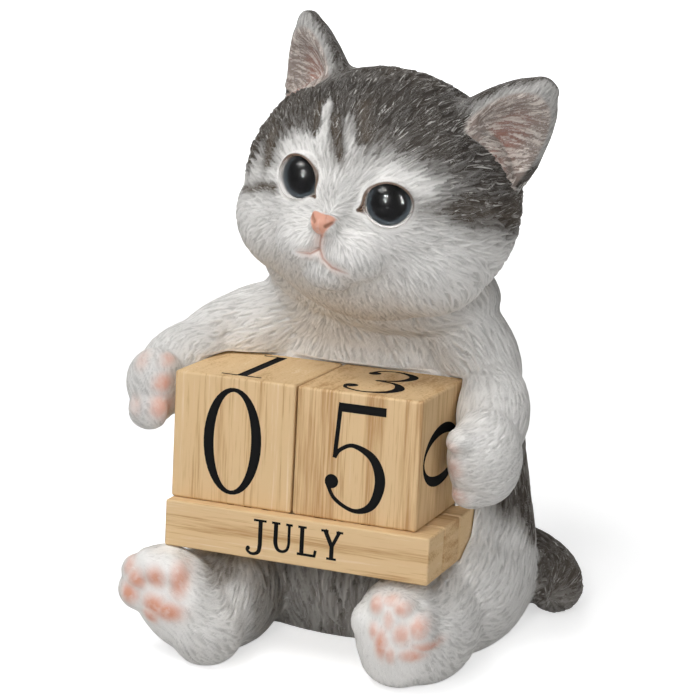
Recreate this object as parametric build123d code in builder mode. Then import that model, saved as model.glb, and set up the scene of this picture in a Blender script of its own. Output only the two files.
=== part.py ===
"""Perpetual desk calendar: a sitting kitten, cast in resin, that holds loose wooden calendar blocks on its lap.

Two day cubes stand on three month bars. The blocks lean back against the belly on a lap that slopes by the
seat angle, so they stay put, and each one pulls forward out of the paws to be turned to another face.

Frame: +Z up, the kitten faces -Y, +X is the kitten's left. The origin is on the table, under the body.
All lengths are in millimetres and all angles in degrees.
"""

from build123d import *

import os
from math import cos, radians, sin

os.makedirs("parts", exist_ok=True)

# ---- wooden blocks -------------------------------------------------------------------------------------
CUBE = 32.0  # side of a day cube
CUBE_ROUND = 0.9  # rounding of a cube's edges
CUBE_GAP = 0.5  # space between the two cubes
BAR = 11.7  # side of a month bar's square section
BAR_LENGTH = 69.0
BAR_ROUND = 0.7
BAR_GAP = 0.2  # space between two bars
BAR_OVERHANG = 3.2  # the front bar stands this far in front of the cubes
BAR_SHIFT = 2.3  # the bars sit this far to the kitten's left of the cubes' middle
SLIP = 0.12  # play between faces that slide on each other
SIDE_PLAY = 0.3  # play between a block and the casting round it

# ---- where the blocks sit ------------------------------------------------------------------------------
SEAT_ANGLE = 8.0  # the lap falls towards the belly by this angle
SEAT_X, SEAT_Y, SEAT_Z = -4.0, -45.0, 40.0  # front edge of the cubes' underside, between the cubes

# ---- base ----------------------------------------------------------------------------------------------
CASTING_FOOT = 0.3  # the casting's underside stands this far above the table, on its felt
FELT_THICK = 1.0
FELT_AT, FELT_RX, FELT_RY = (0.0, -1.0), 30.0, 19.0  # oval felt pad: its middle and half axes
FELT_FIT = 0.2  # gap between the felt's rim and its step
PLUG_AT, PLUG_R, PLUG_THICK = (0.0, 4.0), 13.0, 4.0
PLUG_FIT = 0.05  # radial gap between the plug and its hole
PLUG_CHAMFER = 0.6
CAVITY_AT, CAVITY_RADII = (0.0, 9.0, 38.0), (27.0, 13.5, 32.0)  # the hollow: its middle and half axes

# ---- head, in its own frame: X to the kitten's left, Y to the back of the head, Z to the crown ------------
HEAD_AT = (3.8, -2.0, 110.3)
HEAD_PITCH, HEAD_ROLL, HEAD_YAW = 6.0, 11.0, 1.0  # face up, crown to the kitten's left, face to its right
EYE_R = 6.8  # radius of the glass eye's dome
EYE_SPREAD, EYE_FORWARD, EYE_UP = 10.8, 26.3, 4.7  # the dome's centre
EYE_TOE_OUT, EYE_LOOK_UP = 17.0, 4.0
EYE_CUT = 2.0  # the dome's flat back is this far in front of its centre
BACKING_THICK = 0.8
BACKING_INSET = 0.4  # the disc behind the glass is this much smaller than the dome's flat back, all round
EYE_FIT = 0.05
EAR_SPREAD, EAR_BACK, EAR_UP = 21.0, 2.0, 16.0  # middle of the ear's root, inside the skull
EAR_LEANS = {-1: 24.0, 1: 31.0}  # lean away from the crown, of the kitten's right ear and of its left
EAR_OUT = 32.0  # turn of an ear's opening to the side
EAR_LENGTH, EAR_HALF_WIDTH, EAR_HALF_DEPTH = 24.5, 13.6, 7.0

# the calendar's frame: Y back into the lap, Z up along the cubes
calendar = Plane(
    origin=(SEAT_X, SEAT_Y, SEAT_Z),
    x_dir=(1, 0, 0),
    z_dir=(0, sin(radians(SEAT_ANGLE)), cos(radians(SEAT_ANGLE))),
)
BARS_BACK = 3 * BAR + 2 * BAR_GAP - BAR_OVERHANG  # rear face of the last bar, behind the cubes' front
LAP = -(BAR + 2 * SLIP)  # height of the lap
REACH = 90.0  # length of the way in front of the blocks that is kept clear
cubes_half_width = CUBE + CUBE_GAP / 2 + SIDE_PLAY
bars_half_width = BAR_LENGTH / 2 + SIDE_PLAY
head_frame = Location(HEAD_AT) * Location((0, 0, 0), (-HEAD_PITCH, HEAD_ROLL, -HEAD_YAW))


# ---- rounded forms that the figure is put together from -------------------------------------------------
def egg(center, radii, turn=(0, 0, 0)):
    """An ellipsoid with its own three radii, turned about X, then Y, then Z."""
    ball = scale(Sphere(1, mode=Mode.PRIVATE), by=radii, mode=Mode.PRIVATE)
    return Location(center, turn) * ball


def pair_of_eggs(center, radii, turn=(0, 0, 0)):
    """The same ellipsoid on both sides of the YZ plane."""
    x, y, z = center
    a, b, c = turn
    return [egg((side * x, y, z), radii, (a, side * b, side * c)) for side in (-1, 1)]


def muscle(start, end, radius, reach):
    """An ellipsoid along the line from start to end, its ends standing past both by the given reach."""
    start, end = Vector(*start), Vector(*end)
    along = end - start
    belly = scale(Sphere(1, mode=Mode.PRIVATE), by=(radius, radius, along.length / 2 + reach), mode=Mode.PRIVATE)
    return Plane(origin=(start + end) / 2, z_dir=along).location * belly


# ---- torso: a pear of stacked ovals, each (height, middle y, half width, half depth) ----------------------
TORSO_OVALS = [
    (-6.0, -1.0, 37.0, 24.0),
    (0.0, -1.0, 40.5, 26.5),
    (10.0, -1.0, 44.0, 30.0),
    (20.0, 0.0, 44.5, 30.0),
    (32.0, 2.0, 42.0, 28.5),
    (48.0, 5.0, 39.0, 24.0),
    (62.0, 7.0, 36.5, 19.5),
    (72.0, 7.5, 34.0, 17.5),
    (84.0, 5.0, 30.0, 18.0),
    (96.0, 0.0, 22.0, 17.0),
]
with BuildPart() as torso:
    for height, middle_y, half_width, half_depth in TORSO_OVALS:
        with BuildSketch(Plane.XY.offset(height)):
            with Locations((0, middle_y)):
                Ellipse(half_width, half_depth)
    loft()

# ---- head: a round skull, full cheeks, whisker pads, chin and nose ---------------------------------------
FACE = [
    *pair_of_eggs((16.0, -8.0, -9.0), (17.4, 18.5, 15.5)),  # cheeks
    egg((0, -27.0, 2.5), (6.5, 8.0, 9.5)),  # bridge of the nose
    egg((-0.8, -35.2, -2.2), (4.0, 3.0, 3.4), (90, 0, 0)),  # nose
    *pair_of_eggs((5.6, -28.8, -9.0), (8.8, 7.8, 6.8)),  # whisker pads
    egg((0, -26.6, -14.6), (7.6, 7.4, 5.6)),  # chin
]
with BuildPart() as skull:
    add(egg((0, 0, 0), (35.0, 32.5, 31.5)))
    for form in FACE:
        add(form)

# ---- ears: a rounded leaf of stacked ovals, scooped out from the front -----------------------------------
EAR_OVALS = [(0.0, 1.0, 1.0), (0.3, 0.92, 0.86), (0.6, 0.72, 0.66), (0.82, 0.5, 0.48), (0.95, 0.26, 0.3)]


def ear(side):
    """One ear in the head's frame. side is -1 for the kitten's right ear and 1 for its left."""
    with BuildPart() as leaf:
        for share, width, depth in EAR_OVALS:
            with BuildSketch(Plane.XY.offset(share * EAR_LENGTH)):
                Ellipse(width * EAR_HALF_WIDTH, depth * EAR_HALF_DEPTH)
        loft()
        add(egg((0, 0, 0.93 * EAR_LENGTH), (0.3 * EAR_HALF_WIDTH, 0.32 * EAR_HALF_DEPTH, 2.6)))
        add(
            egg((0, -0.95 * EAR_HALF_DEPTH, 0.36 * EAR_LENGTH), (9.6, 6.2, 13.5), (4, 0, 0)),
            mode=Mode.SUBTRACT,
        )
    root = Location((side * EAR_SPREAD, EAR_BACK, EAR_UP), (0, side * EAR_LEANS[side], 0))
    return root * Location((0, 0, 0), (0, 0, side * EAR_OUT)) * leaf.part


# ---- glass eyes: a dome with a flat back, on a thin enamelled disc ---------------------------------------
def eye_location(side):
    """The dome's centre, with local +Z looking out of the face and local +Y to the crown."""
    at = Location((side * EYE_SPREAD, -EYE_FORWARD, EYE_UP), (0, 0, side * EYE_TOE_OUT))
    return head_frame * at * Location((0, 0, 0), (90 - EYE_LOOK_UP, 0, 0))


def eye_dome(side, oversize=0.0):
    with BuildPart() as dome:
        Sphere(EYE_R + oversize)
        split(bisect_by=Plane.XY.offset(EYE_CUT), keep=Keep.TOP)
    return eye_location(side) * dome.part


def eye_backing(side, oversize=0.0):
    rim = (EYE_R**2 - EYE_CUT**2) ** 0.5 - BACKING_INSET + oversize
    with BuildPart() as disc:
        with BuildSketch(Plane.XY.offset(EYE_CUT)):
            Circle(rim)
        extrude(amount=-BACKING_THICK - oversize)
    return eye_location(side) * disc.part


# ---- forelegs: upper arm, forearm and a paw with four toes, round each side of the blocks ------------------
RIGHT_FORELEG = [
    muscle((-20.0, 3.0, 76.5), (-40.5, -7.0, 69.0), 11.8, 7.0),
    muscle((-41.5, -8.0, 68.5), (-45.5, -30.0, 67.0), 9.6, 6.0),
    egg((-44.4, -35.0, 65.6), (7.4, 7.8, 9.0), (8, 0, 0)),
    *[egg((-43.8, -41.4 + 4.0 * i, 61.0 - 0.7 * abs(i - 1.5)), (5.4, 2.7, 4.8)) for i in range(4)],
]
LEFT_FORELEG = [
    muscle((22.0, 3.0, 80.0), (35.0, -4.5, 66.0), 11.4, 7.0),
    muscle((36.0, -6.0, 66.0), (39.5, -21.0, 54.0), 9.6, 6.5),
    egg((39.0, -25.5, 52.0), (10.0, 9.4, 10.6)),
    *[egg((33.0 + 0.9 * i, -33.4 + 1.2 * i, 58.5 - 4.6 * i), (4.3, 3.8, 2.9)) for i in range(4)],
]

# ---- hind legs: thigh and calf along the table, and a foot on its heel with four toes on top ---------------
THIGHS = [
    egg((-27.0, -8.0, 12.0), (17.5, 30.0, 18.5), (0, 0, 4)),
    egg((28.0, -8.0, 12.0), (17.5, 30.0, 18.5), (0, 0, -4)),
]
CALVES = [
    egg((-27.0, -35.0, 11.0), (14.5, 20.0, 14.5), (0, 0, -6)),
    egg((27.0, -33.0, 11.0), (13.6, 20.0, 14.5), (0, 0, 4)),
]
LEFT_FOOT = [
    egg((24.6, -45.0, 13.6), (11.4, 10.5, 14.2)),
    egg((24.0, -44.5, 7.2), (9.6, 9.5, 8.0)),
    *[egg((24.6 + x, -50.6, z), (3.7, 4.4, 4.6)) for x, z in ((-7.4, 18.8), (-2.6, 22.4), (2.8, 22.0), (7.6, 18.2))],
]
RIGHT_FOOT_TILT = -42.0  # the foot falls outwards by this angle
right_foot_frame = Location((-31.0, -49.4, 14.0), (0, RIGHT_FOOT_TILT, 0))
RIGHT_FOOT = [
    right_foot_frame * egg((0, 0, 0), (10.8, 9.0, 16.0)),
    right_foot_frame * egg((0.3, -0.3, -9.0), (9.4, 9.4, 9.0)),
    *[
        right_foot_frame * egg((x, -4.6, z), (3.7, 4.6, 4.6))
        for x, z in ((-7.4, 11.0), (-2.6, 14.6), (2.7, 14.4), (7.2, 10.6))
    ],
]

# ---- tail: it curls round the back of the body, and its end sticks out on the kitten's left -----------------
TAIL_R, TAIL_UP = 7.4, 7.7
TAIL_BEND_AT, TAIL_BEND_R = (20.0, -2.0), 30.0  # the curl's centre and radius, seen from above
TAIL_FROM, TAIL_TO = 140.0, 18.0  # the curl's two ends, as directions from its centre


def around_tail(direction):
    turn = radians(direction)
    return Vector(TAIL_BEND_AT[0] + TAIL_BEND_R * cos(turn), TAIL_BEND_AT[1] + TAIL_BEND_R * sin(turn), TAIL_UP)


tail_root = Plane(origin=around_tail(TAIL_FROM), z_dir=(sin(radians(TAIL_FROM)), -cos(radians(TAIL_FROM)), 0))
with BuildPart() as tail:
    with BuildLine():
        ThreePointArc(around_tail(TAIL_FROM), around_tail((TAIL_FROM + TAIL_TO) / 2), around_tail(TAIL_TO))
    with BuildSketch(tail_root):
        Circle(TAIL_R)
    sweep()
    with Locations(around_tail(TAIL_TO)):
        Sphere(TAIL_R)

# ---- neck: a ruff of fur that the chin sinks into -----------------------------------------------------------
NECK = egg((2.0, 1.5, 88.0), (31.5, 20.0, 13.0), (0, 8, 0))

# ---- the casting: all forms in one, cut flat below, with the lap, the eye sockets and the hollow cut in -----
way_of_bars = Plane(
    origin=calendar.from_local_coords((BAR_SHIFT, 0, LAP)), x_dir=calendar.x_dir, z_dir=calendar.z_dir
)
with BuildPart() as kitten_casting:
    add(torso.part)
    for form in (
        *THIGHS,
        *CALVES,
        tail.part,
        NECK,
        *RIGHT_FORELEG,
        *LEFT_FORELEG,
        head_frame * skull.part,
        *[head_frame * ear(side) for side in (-1, 1)],
        *RIGHT_FOOT,
        *LEFT_FOOT,
    ):
        add(form)
    # way of the bars, open at the front
    with BuildSketch(way_of_bars):
        with Locations((0, BARS_BACK + SIDE_PLAY)):
            Rectangle(2 * bars_half_width, REACH, align=(Align.CENTER, Align.MAX))
    extrude(amount=-LAP, mode=Mode.SUBTRACT)
    # way of the cubes, open at the front
    with BuildSketch(calendar):
        with Locations((0, BARS_BACK + SIDE_PLAY)):
            Rectangle(2 * cubes_half_width, REACH, align=(Align.CENTER, Align.MAX))
    extrude(amount=CUBE + 2 * SIDE_PLAY, mode=Mode.SUBTRACT)
    split(bisect_by=Plane.XY.offset(CASTING_FOOT), keep=Keep.TOP)
    for side in (-1, 1):
        add(eye_dome(side, EYE_FIT), mode=Mode.SUBTRACT)
        add(eye_backing(side, EYE_FIT), mode=Mode.SUBTRACT)
    # hollow, its pour hole, and the step for the felt
    add(egg(CAVITY_AT, CAVITY_RADII), mode=Mode.SUBTRACT)
    with BuildSketch(Plane.XY):
        with Locations(PLUG_AT):
            Circle(PLUG_R + PLUG_FIT)
    extrude(amount=CAVITY_AT[2] / 2, mode=Mode.SUBTRACT)
    with BuildSketch(Plane.XY):
        with Locations(FELT_AT):
            Ellipse(FELT_RX + FELT_FIT, FELT_RY + FELT_FIT)
    extrude(amount=FELT_THICK, mode=Mode.SUBTRACT)

# ---- what closes the casting below ------------------------------------------------------------------------
with BuildPart() as base_plug:
    with BuildSketch(Plane.XY.offset(FELT_THICK)):
        with Locations(PLUG_AT):
            Circle(PLUG_R)
    extrude(amount=PLUG_THICK)
    chamfer(base_plug.edges().group_by(Axis.Z)[-1], PLUG_CHAMFER)

with BuildPart() as base_felt:
    with BuildSketch(Plane.XY):
        with Locations(FELT_AT):
            Ellipse(FELT_RX, FELT_RY)
    extrude(amount=FELT_THICK)

# ---- wooden blocks ----------------------------------------------------------------------------------------


def block(corner, size, rounding):
    """A wooden block with softened edges, from its lower front right corner in the calendar's frame."""
    with BuildPart(calendar) as wood:
        with Locations(corner):
            Box(*size, align=(Align.MIN, Align.MIN, Align.MIN))
        fillet(wood.edges(), rounding)
    return wood.part


day_cubes = {
    "day_cube_tens": block((-CUBE - CUBE_GAP / 2, 0, 0), (CUBE, CUBE, CUBE), CUBE_ROUND),
    "day_cube_units": block((CUBE_GAP / 2, 0, 0), (CUBE, CUBE, CUBE), CUBE_ROUND),
}
month_bars = {
    f"month_bar_{name}": block(
        (BAR_SHIFT - BAR_LENGTH / 2, row * (BAR + BAR_GAP) - BAR_OVERHANG, LAP + SLIP),
        (BAR_LENGTH, BAR, BAR),
        BAR_ROUND,
    )
    for row, name in enumerate(("front", "middle", "rear"))
}

# ---- every piece in its own file --------------------------------------------------------------------------
pieces = {
    "kitten_casting": kitten_casting.part,
    "base_plug": base_plug.part,
    "base_felt": base_felt.part,
    "eye_glass_right": eye_dome(-1),
    "eye_glass_left": eye_dome(1),
    "eye_backing_right": eye_backing(-1),
    "eye_backing_left": eye_backing(1),
    **day_cubes,
    **month_bars,
}
for name, piece in pieces.items():
    piece.label = name
    export_step(piece, f"parts/{name}.step")
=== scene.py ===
"""Perpetual desk calendar: a sitting kitten that holds wooden day cubes and month bars.

The kitten is sculpted in three steps: its forms are put together and softened, locks of fur are carved along
the lie of the coat, and the coat, skin and pads are painted. Lengths are in millimetres until a mesh is made.
"""

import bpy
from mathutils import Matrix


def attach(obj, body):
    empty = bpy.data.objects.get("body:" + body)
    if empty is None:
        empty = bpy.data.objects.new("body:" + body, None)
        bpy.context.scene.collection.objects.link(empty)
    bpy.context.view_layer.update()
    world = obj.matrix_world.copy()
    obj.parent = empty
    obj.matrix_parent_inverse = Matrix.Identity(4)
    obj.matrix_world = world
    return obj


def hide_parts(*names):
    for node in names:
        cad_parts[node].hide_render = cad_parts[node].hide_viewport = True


bl_info = {
    "name": "Kitten Desk Calendar",
    "version": (1, 0, 0),
    "blender": (4, 5, 0),
    "location": "View3D > Sidebar > Calendar",
    "description": "Sculpts, paints and lights a perpetual desk calendar held by a sitting kitten",
    "category": "Add Mesh",
}

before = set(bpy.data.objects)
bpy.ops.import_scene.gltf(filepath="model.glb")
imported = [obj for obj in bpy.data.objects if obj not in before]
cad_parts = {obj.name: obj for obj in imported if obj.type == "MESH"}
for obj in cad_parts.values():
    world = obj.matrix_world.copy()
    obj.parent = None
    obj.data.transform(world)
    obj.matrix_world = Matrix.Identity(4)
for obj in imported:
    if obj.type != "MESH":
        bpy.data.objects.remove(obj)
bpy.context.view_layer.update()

from math import cos, pi, radians, sin

import bpy
import numpy as np
from bpy.props import FloatProperty, FloatVectorProperty, PointerProperty
from mathutils import Matrix, Vector
from mathutils.kdtree import KDTree

MM = 0.001
HERE = Matrix.Identity(4)
MOST_FACES = 95000
NEAREST_LOCKS = 14
FORMS_VOXEL = 0.9


# ---- placing -------------------------------------------------------------------------------------------
def placed(center, degrees=(0, 0, 0)):
    """A place in millimetres, turned about X, then the new Y, then the new Z."""
    x, y, z = (radians(angle) for angle in degrees)
    turn = Matrix.Rotation(x, 4, "X") @ Matrix.Rotation(y, 4, "Y") @ Matrix.Rotation(z, 4, "Z")
    return Matrix.Translation(center) @ turn


def only(*pieces):
    """Selects these pieces alone, the first of them active."""
    if bpy.context.object and bpy.context.object.mode != "OBJECT":
        bpy.ops.object.mode_set(mode="OBJECT")
    bpy.ops.object.select_all(action="DESELECT")
    for piece in pieces:
        piece.select_set(True)
    if pieces:
        bpy.context.view_layer.objects.active = pieces[0]


def new_piece(name):
    """The object that an operator has just added, named."""
    piece = bpy.context.object
    piece.name = piece.data.name = name
    return piece


def apply_modifier(piece, kind, **settings):
    only(piece)
    modifier = piece.modifiers.new(kind, kind)
    for name, value in settings.items():
        setattr(modifier, name, value)
    bpy.ops.object.modifier_apply(modifier=modifier.name)


# ---- the calendar's seat and the kitten's head, as the frame has them -----------------------------------
CUBE, CUBE_GAP, CUBE_ROUND = 32.0, 0.5, 0.75
BAR, BAR_LENGTH, BAR_ROUND, BAR_GAP, BAR_INSET = 11.7, 69.0, 0.55, 0.2, 0.2
BAR_OVERHANG, BAR_SHIFT, SLIP, SIDE_PLAY = 3.2, 2.3, 0.12, 0.3
SEAT_ANGLE = 8.0
SEAT = placed((-4.0, -45.0, 40.0), (-SEAT_ANGLE, 0, 0))
LAP = -(BAR + 2 * SLIP)
BARS_BACK = 3 * BAR + 2 * BAR_GAP - BAR_OVERHANG
REACH = 90.0
HEAD = placed((3.8, -2.0, 110.3), (-6.0, 11.0, -1.0))
EYE_R, EYE_CUT = 6.8, 2.0
SIDES = (-1, 1)


def eye_place(side):
    """The middle of an eye's dome: local Z looks out of the face, local Y to the crown."""
    return HEAD @ placed((side * 10.8, -26.3, 4.7), (0, 0, side * 17.0)) @ placed((0, 0, 0), (86, 0, 0))


# ---- forms ---------------------------------------------------------------------------------------------
def egg(center, radii, turn=(0, 0, 0), place=HERE):
    """An ellipsoid with its own three radii."""
    only()
    bpy.ops.mesh.primitive_uv_sphere_add(segments=48, ring_count=32, radius=1)
    ball = bpy.context.object
    ball.data.transform(place @ placed(center, turn) @ Matrix.Diagonal((*radii, 1)))
    return ball


def pair_of_eggs(center, radii, place):
    x, y, z = center
    return [egg((side * x, y, z), radii, place=place) for side in SIDES]


def muscle(start, end, radius, reach):
    """An ellipsoid along the line from start to end, standing past both."""
    start, end = Vector(start), Vector(end)
    along = end - start
    place = Matrix.Translation((start + end) / 2) @ along.to_track_quat("Z", "Y").to_matrix().to_4x4()
    return egg((0, 0, 0), (radius, radius, along.length / 2 + reach), place=place)


def stack(ovals, place=HERE):
    """A closed form through stacked ovals, each (height, middle y, half width, half depth)."""
    only()
    height, middle, wide, deep = ovals[0]
    bpy.ops.mesh.primitive_circle_add(vertices=64, radius=1, fill_type="NGON", location=(0, 0, 0))
    form = bpy.context.object
    form.data.transform(placed((0, middle, height)) @ Matrix.Diagonal((wide, deep, 1, 1)))
    bpy.ops.object.mode_set(mode="EDIT")
    bpy.ops.mesh.select_all(action="SELECT")
    for next_height, next_middle, next_wide, next_deep in ovals[1:]:
        bpy.ops.mesh.extrude_region_move(
            TRANSFORM_OT_translate={"value": (0, next_middle - middle, next_height - height)}
        )
        bpy.ops.transform.resize(
            value=(next_wide / wide, next_deep / deep, 1), center_override=(0, next_middle, next_height)
        )
        height, middle, wide, deep = next_height, next_middle, next_wide, next_deep
    bpy.ops.mesh.select_all(action="SELECT")
    bpy.ops.mesh.normals_make_consistent(inside=False)
    bpy.ops.object.mode_set(mode="OBJECT")
    form.data.transform(place)
    return form


def box_form(low, high, place):
    """A plain block between two corners, used only to cut with."""
    only()
    bpy.ops.mesh.primitive_cube_add(size=1)
    block = bpy.context.object
    low, high = Vector(low), Vector(high)
    size = high - low
    block.data.transform(place @ Matrix.Translation((low + high) / 2) @ Matrix.Diagonal((*size, 1)))
    return block


def disc_form(center, radius, depth, scale=(1, 1, 1)):
    """An upright disc, used only to cut with."""
    only()
    bpy.ops.mesh.primitive_cylinder_add(vertices=96, radius=radius, depth=depth)
    disc = bpy.context.object
    disc.data.transform(placed(center) @ Matrix.Diagonal((*scale, 1)))
    return disc


def cut(piece, cutter, operation="DIFFERENCE", solver="EXACT", **settings):
    """Cuts a form out of a piece, or joins it on by UNION, and removes the form."""
    apply_modifier(piece, "BOOLEAN", object=cutter, operation=operation, solver=solver, **settings)
    bpy.data.objects.remove(cutter)


def remesh(piece, voxel):
    only(piece)
    piece.data.remesh_voxel_size = voxel
    piece.data.remesh_voxel_adaptivity = 0
    bpy.ops.object.voxel_remesh()


def soften(piece, times):
    apply_modifier(piece, "SMOOTH", factor=0.5, iterations=times)


def refine(piece, voxel, softening=2):
    remesh(piece, voxel)
    soften(piece, softening)


def fused(forms, name, softening):
    """Joins forms into one skin and softens the creases where they meet."""
    only(*forms)
    bpy.ops.object.join()
    piece = new_piece(name)
    refine(piece, FORMS_VOXEL, softening)
    return piece


# ---- the carved coat -----------------------------------------------------------------------------------
def skin_of(piece):
    """Points and normals of a piece, as arrays."""
    count = len(piece.data.vertices)
    points = np.empty(count * 3, np.float32)
    normals = np.empty(count * 3, np.float32)
    piece.data.vertices.foreach_get("co", points)
    piece.data.vertex_normals.foreach_get("vector", normals)
    return points.reshape(-1, 3).astype(float), normals.reshape(-1, 3).astype(float)


def set_skin(piece, points):
    piece.data.vertices.foreach_set("co", points.astype(np.float32).ravel())
    piece.data.update()


def keep_masks(piece, **masks):
    """Stores masks, each one number for each point, for the paint to read."""
    for name, values in masks.items():
        layer = piece.data.attributes.new(name, "FLOAT", "POINT")
        layer.data.foreach_set("value", np.ascontiguousarray(values, dtype=np.float32))


def unit(vectors):
    return vectors / np.maximum(np.linalg.norm(vectors, axis=-1, keepdims=True), 1e-9)


def dot(a, b):
    return np.einsum("...i,...i->...", a, b)


def smoothstep(value, low, high):
    """0 at low and 1 at high, smooth between them, whichever of the two is smaller."""
    share = np.clip((value - low) / (high - low), 0, 1)
    return share * share * (3 - 2 * share)


def fade(value, low, high):
    """Falls from 1 at low to 0 at high."""
    return 1 - smoothstep(value, low, high)


def bell(distance, width):
    """1 at no distance, and close to 0 at two widths."""
    return np.exp(-((distance / width) ** 2))


def to_line(points, start, end):
    """Distance of points from a straight line, and how far along it they are."""
    start, end = np.array(start), np.array(end)
    along = end - start
    share = np.clip((points - start) @ along / (along @ along), 0, 1)
    return np.linalg.norm(points - start - share[:, None] * along, axis=1), share


def to_path(points, path):
    return np.min([to_line(points, start, end)[0] for start, end in zip(path[:-1], path[1:])], axis=0)


def into(place, points):
    """Points in the local frame of a place."""
    inverse = np.array(place.inverted())
    return points @ inverse[:3, :3].T + inverse[:3, 3]


def out_of(place, points):
    matrix = np.array(place)
    return points @ matrix[:3, :3].T + matrix[:3, 3]


def turned_by(place, vectors):
    return vectors @ np.array(place)[:3, :3].T


def blended(guides, points, power=3.0):
    """Values at points, between guides of (x, y, z, values...), each weighted by its nearness."""
    guides = np.array(guides, float)
    total = np.zeros((len(points), guides.shape[1] - 3))
    weights = np.zeros(len(points))
    for guide in guides:
        near = 1 / (1 + dot(points - guide[:3], points - guide[:3]) / 16) ** power
        total += near[:, None] * guide[3:]
        weights += near
    return total / weights[:, None]


def roots_of_locks(points, spacing, random):
    """Evenly spread points for locks of fur to grow at, closer where the spacing is smaller."""
    chosen = []
    steps = np.geomspace(spacing.min(), spacing.max() + 1e-6, 6)
    for low, high in zip(steps[:-1], steps[1:]):
        here = np.flatnonzero((spacing >= low) & (spacing < high))
        if not len(here):
            continue
        here = random.permutation(here)
        cell = np.floor(points[here] / ((low + high) / 2)).astype(np.int64)
        _, first = np.unique(cell @ np.array([73856093, 19349663, 83492791]), return_index=True)
        chosen.append(here[first])
    return np.concatenate(chosen)


def carve_coat(piece, lie, size, seed, coat, bare):
    """Raises locks of fur along the lie of the coat and stores what the paint needs.

    lie is a direction for each point; size is the length, width and depth of a lock at each point; coat is
    how dark each point is; bare is 1 where there's no fur.
    """
    length, width, depth = size.T
    random = np.random.default_rng(seed)
    points, normals = skin_of(piece)
    lie = unit(lie - dot(lie, normals)[:, None] * normals)
    roots = roots_of_locks(points, 0.56 * np.sqrt(length * width), random)
    count = len(roots)
    root, up = points[roots], normals[roots]
    swing = np.radians(random.normal(0, 5, count))[:, None]
    along = unit(lie[roots] * np.cos(swing) + np.cross(up, lie[roots]) * np.sin(swing))
    across = np.cross(up, along)
    long = length[roots] * random.uniform(0.75, 1.3, count)
    wide = width[roots] * random.uniform(0.8, 1.25, count)
    high = random.uniform(0.72, 1.0, count)
    curve = random.normal(0, 0.035, count)
    wave, phase = 0.24 * width[roots], random.uniform(0, 6.3, count)
    tree = KDTree(count)
    for number, middle in enumerate(root):
        tree.insert(middle, number)
    tree.balance()
    reach = min(NEAREST_LOCKS, count)
    near = np.array([[found[1] for found in tree.find_n(point, reach)] for point in points])
    best = np.full(len(points), -1.0)
    owner = near[:, 0].copy()
    side, ahead = np.zeros(len(points)), np.zeros(len(points))
    for column in range(reach):
        lock = near[:, column]
        offset = points - root[lock]
        forward = dot(offset, along[lock])
        share = forward / long[lock] + 0.5
        sideways = dot(offset, across[lock]) - curve[lock] * forward**2
        sideways -= wave[lock] * np.sin(3.2 * forward / long[lock] + phase[lock])
        taper = np.clip(share / 0.25, 0, 1) ** 0.5 * np.clip((1 - share) / 0.6, 0, 1) ** 0.6
        half = 0.5 * wide[lock] * taper + 1e-6
        round_top = 1 - np.clip(np.abs(sideways) / half, 0, 1) ** 1.8
        rise = 0.5 + 0.5 * smoothstep(share, 0, 0.55)
        height = np.where((share > 0) & (share < 1), high[lock] * rise * round_top, 0)
        height = np.where(dot(normals, up[lock]) > 0.2, height, 0)
        better = height > best
        best = np.where(better, height, best)
        owner = np.where(better, lock, owner)
        side = np.where(better, sideways, side)
        ahead = np.where(better, forward, ahead)
    fur = 1 - bare
    points += normals * ((best - 0.6) * depth * fur)[:, None]
    set_skin(piece, points)
    shown = coat[roots][owner] * 0.45 + coat * 0.55
    keep_masks(
        piece,
        relief=best * fur + 0.85 * (1 - fur),
        fur=fur,
        strand=random.random(count)[owner],
        across=side,
        along=ahead,
        coat=np.where(fur > 0.5, shown, coat),
    )


def blob(points, center, radii, turn=(0, 0, 0), edge=0.35):
    """1 inside an ellipsoid, fading to 0 over its edge."""
    local = into(placed(center, turn), points) / np.array(radii)
    return fade(np.linalg.norm(local, axis=1), 1 - edge, 1 + edge)


def sections(piece):
    """Cuts a dense piece in closed sections, each across its longest side, until none has too many faces."""
    name, parts = piece.name, [piece]
    while max(len(part.data.polygons) for part in parts) > MOST_FACES:
        largest = max(parts, key=lambda part: len(part.data.polygons))
        points, _ = skin_of(largest)
        axis = int(np.argmax(np.ptp(points, axis=0)))
        at = np.zeros(3)
        at[axis] = np.median(points[:, axis])
        only(largest)
        bpy.ops.object.duplicate()
        other = bpy.context.object
        parts.append(other)
        for part, drop_low in ((largest, False), (other, True)):
            only(part)
            bpy.ops.object.mode_set(mode="EDIT")
            bpy.ops.mesh.select_all(action="SELECT")
            bpy.ops.mesh.bisect(
                plane_co=at,
                plane_no=np.eye(3)[axis],
                use_fill=True,
                clear_inner=drop_low,
                clear_outer=not drop_low,
            )
            bpy.ops.mesh.mark_sharp()
            bpy.ops.object.mode_set(mode="OBJECT")
    for number, part in enumerate(parts, 1):
        part.name = part.data.name = f"{name}_{number}"
    return parts


def in_metres(piece):
    piece.data.transform(Matrix.Scale(MM, 4))
    only(piece)
    bpy.ops.object.shade_smooth()
    piece.data.update()


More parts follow.
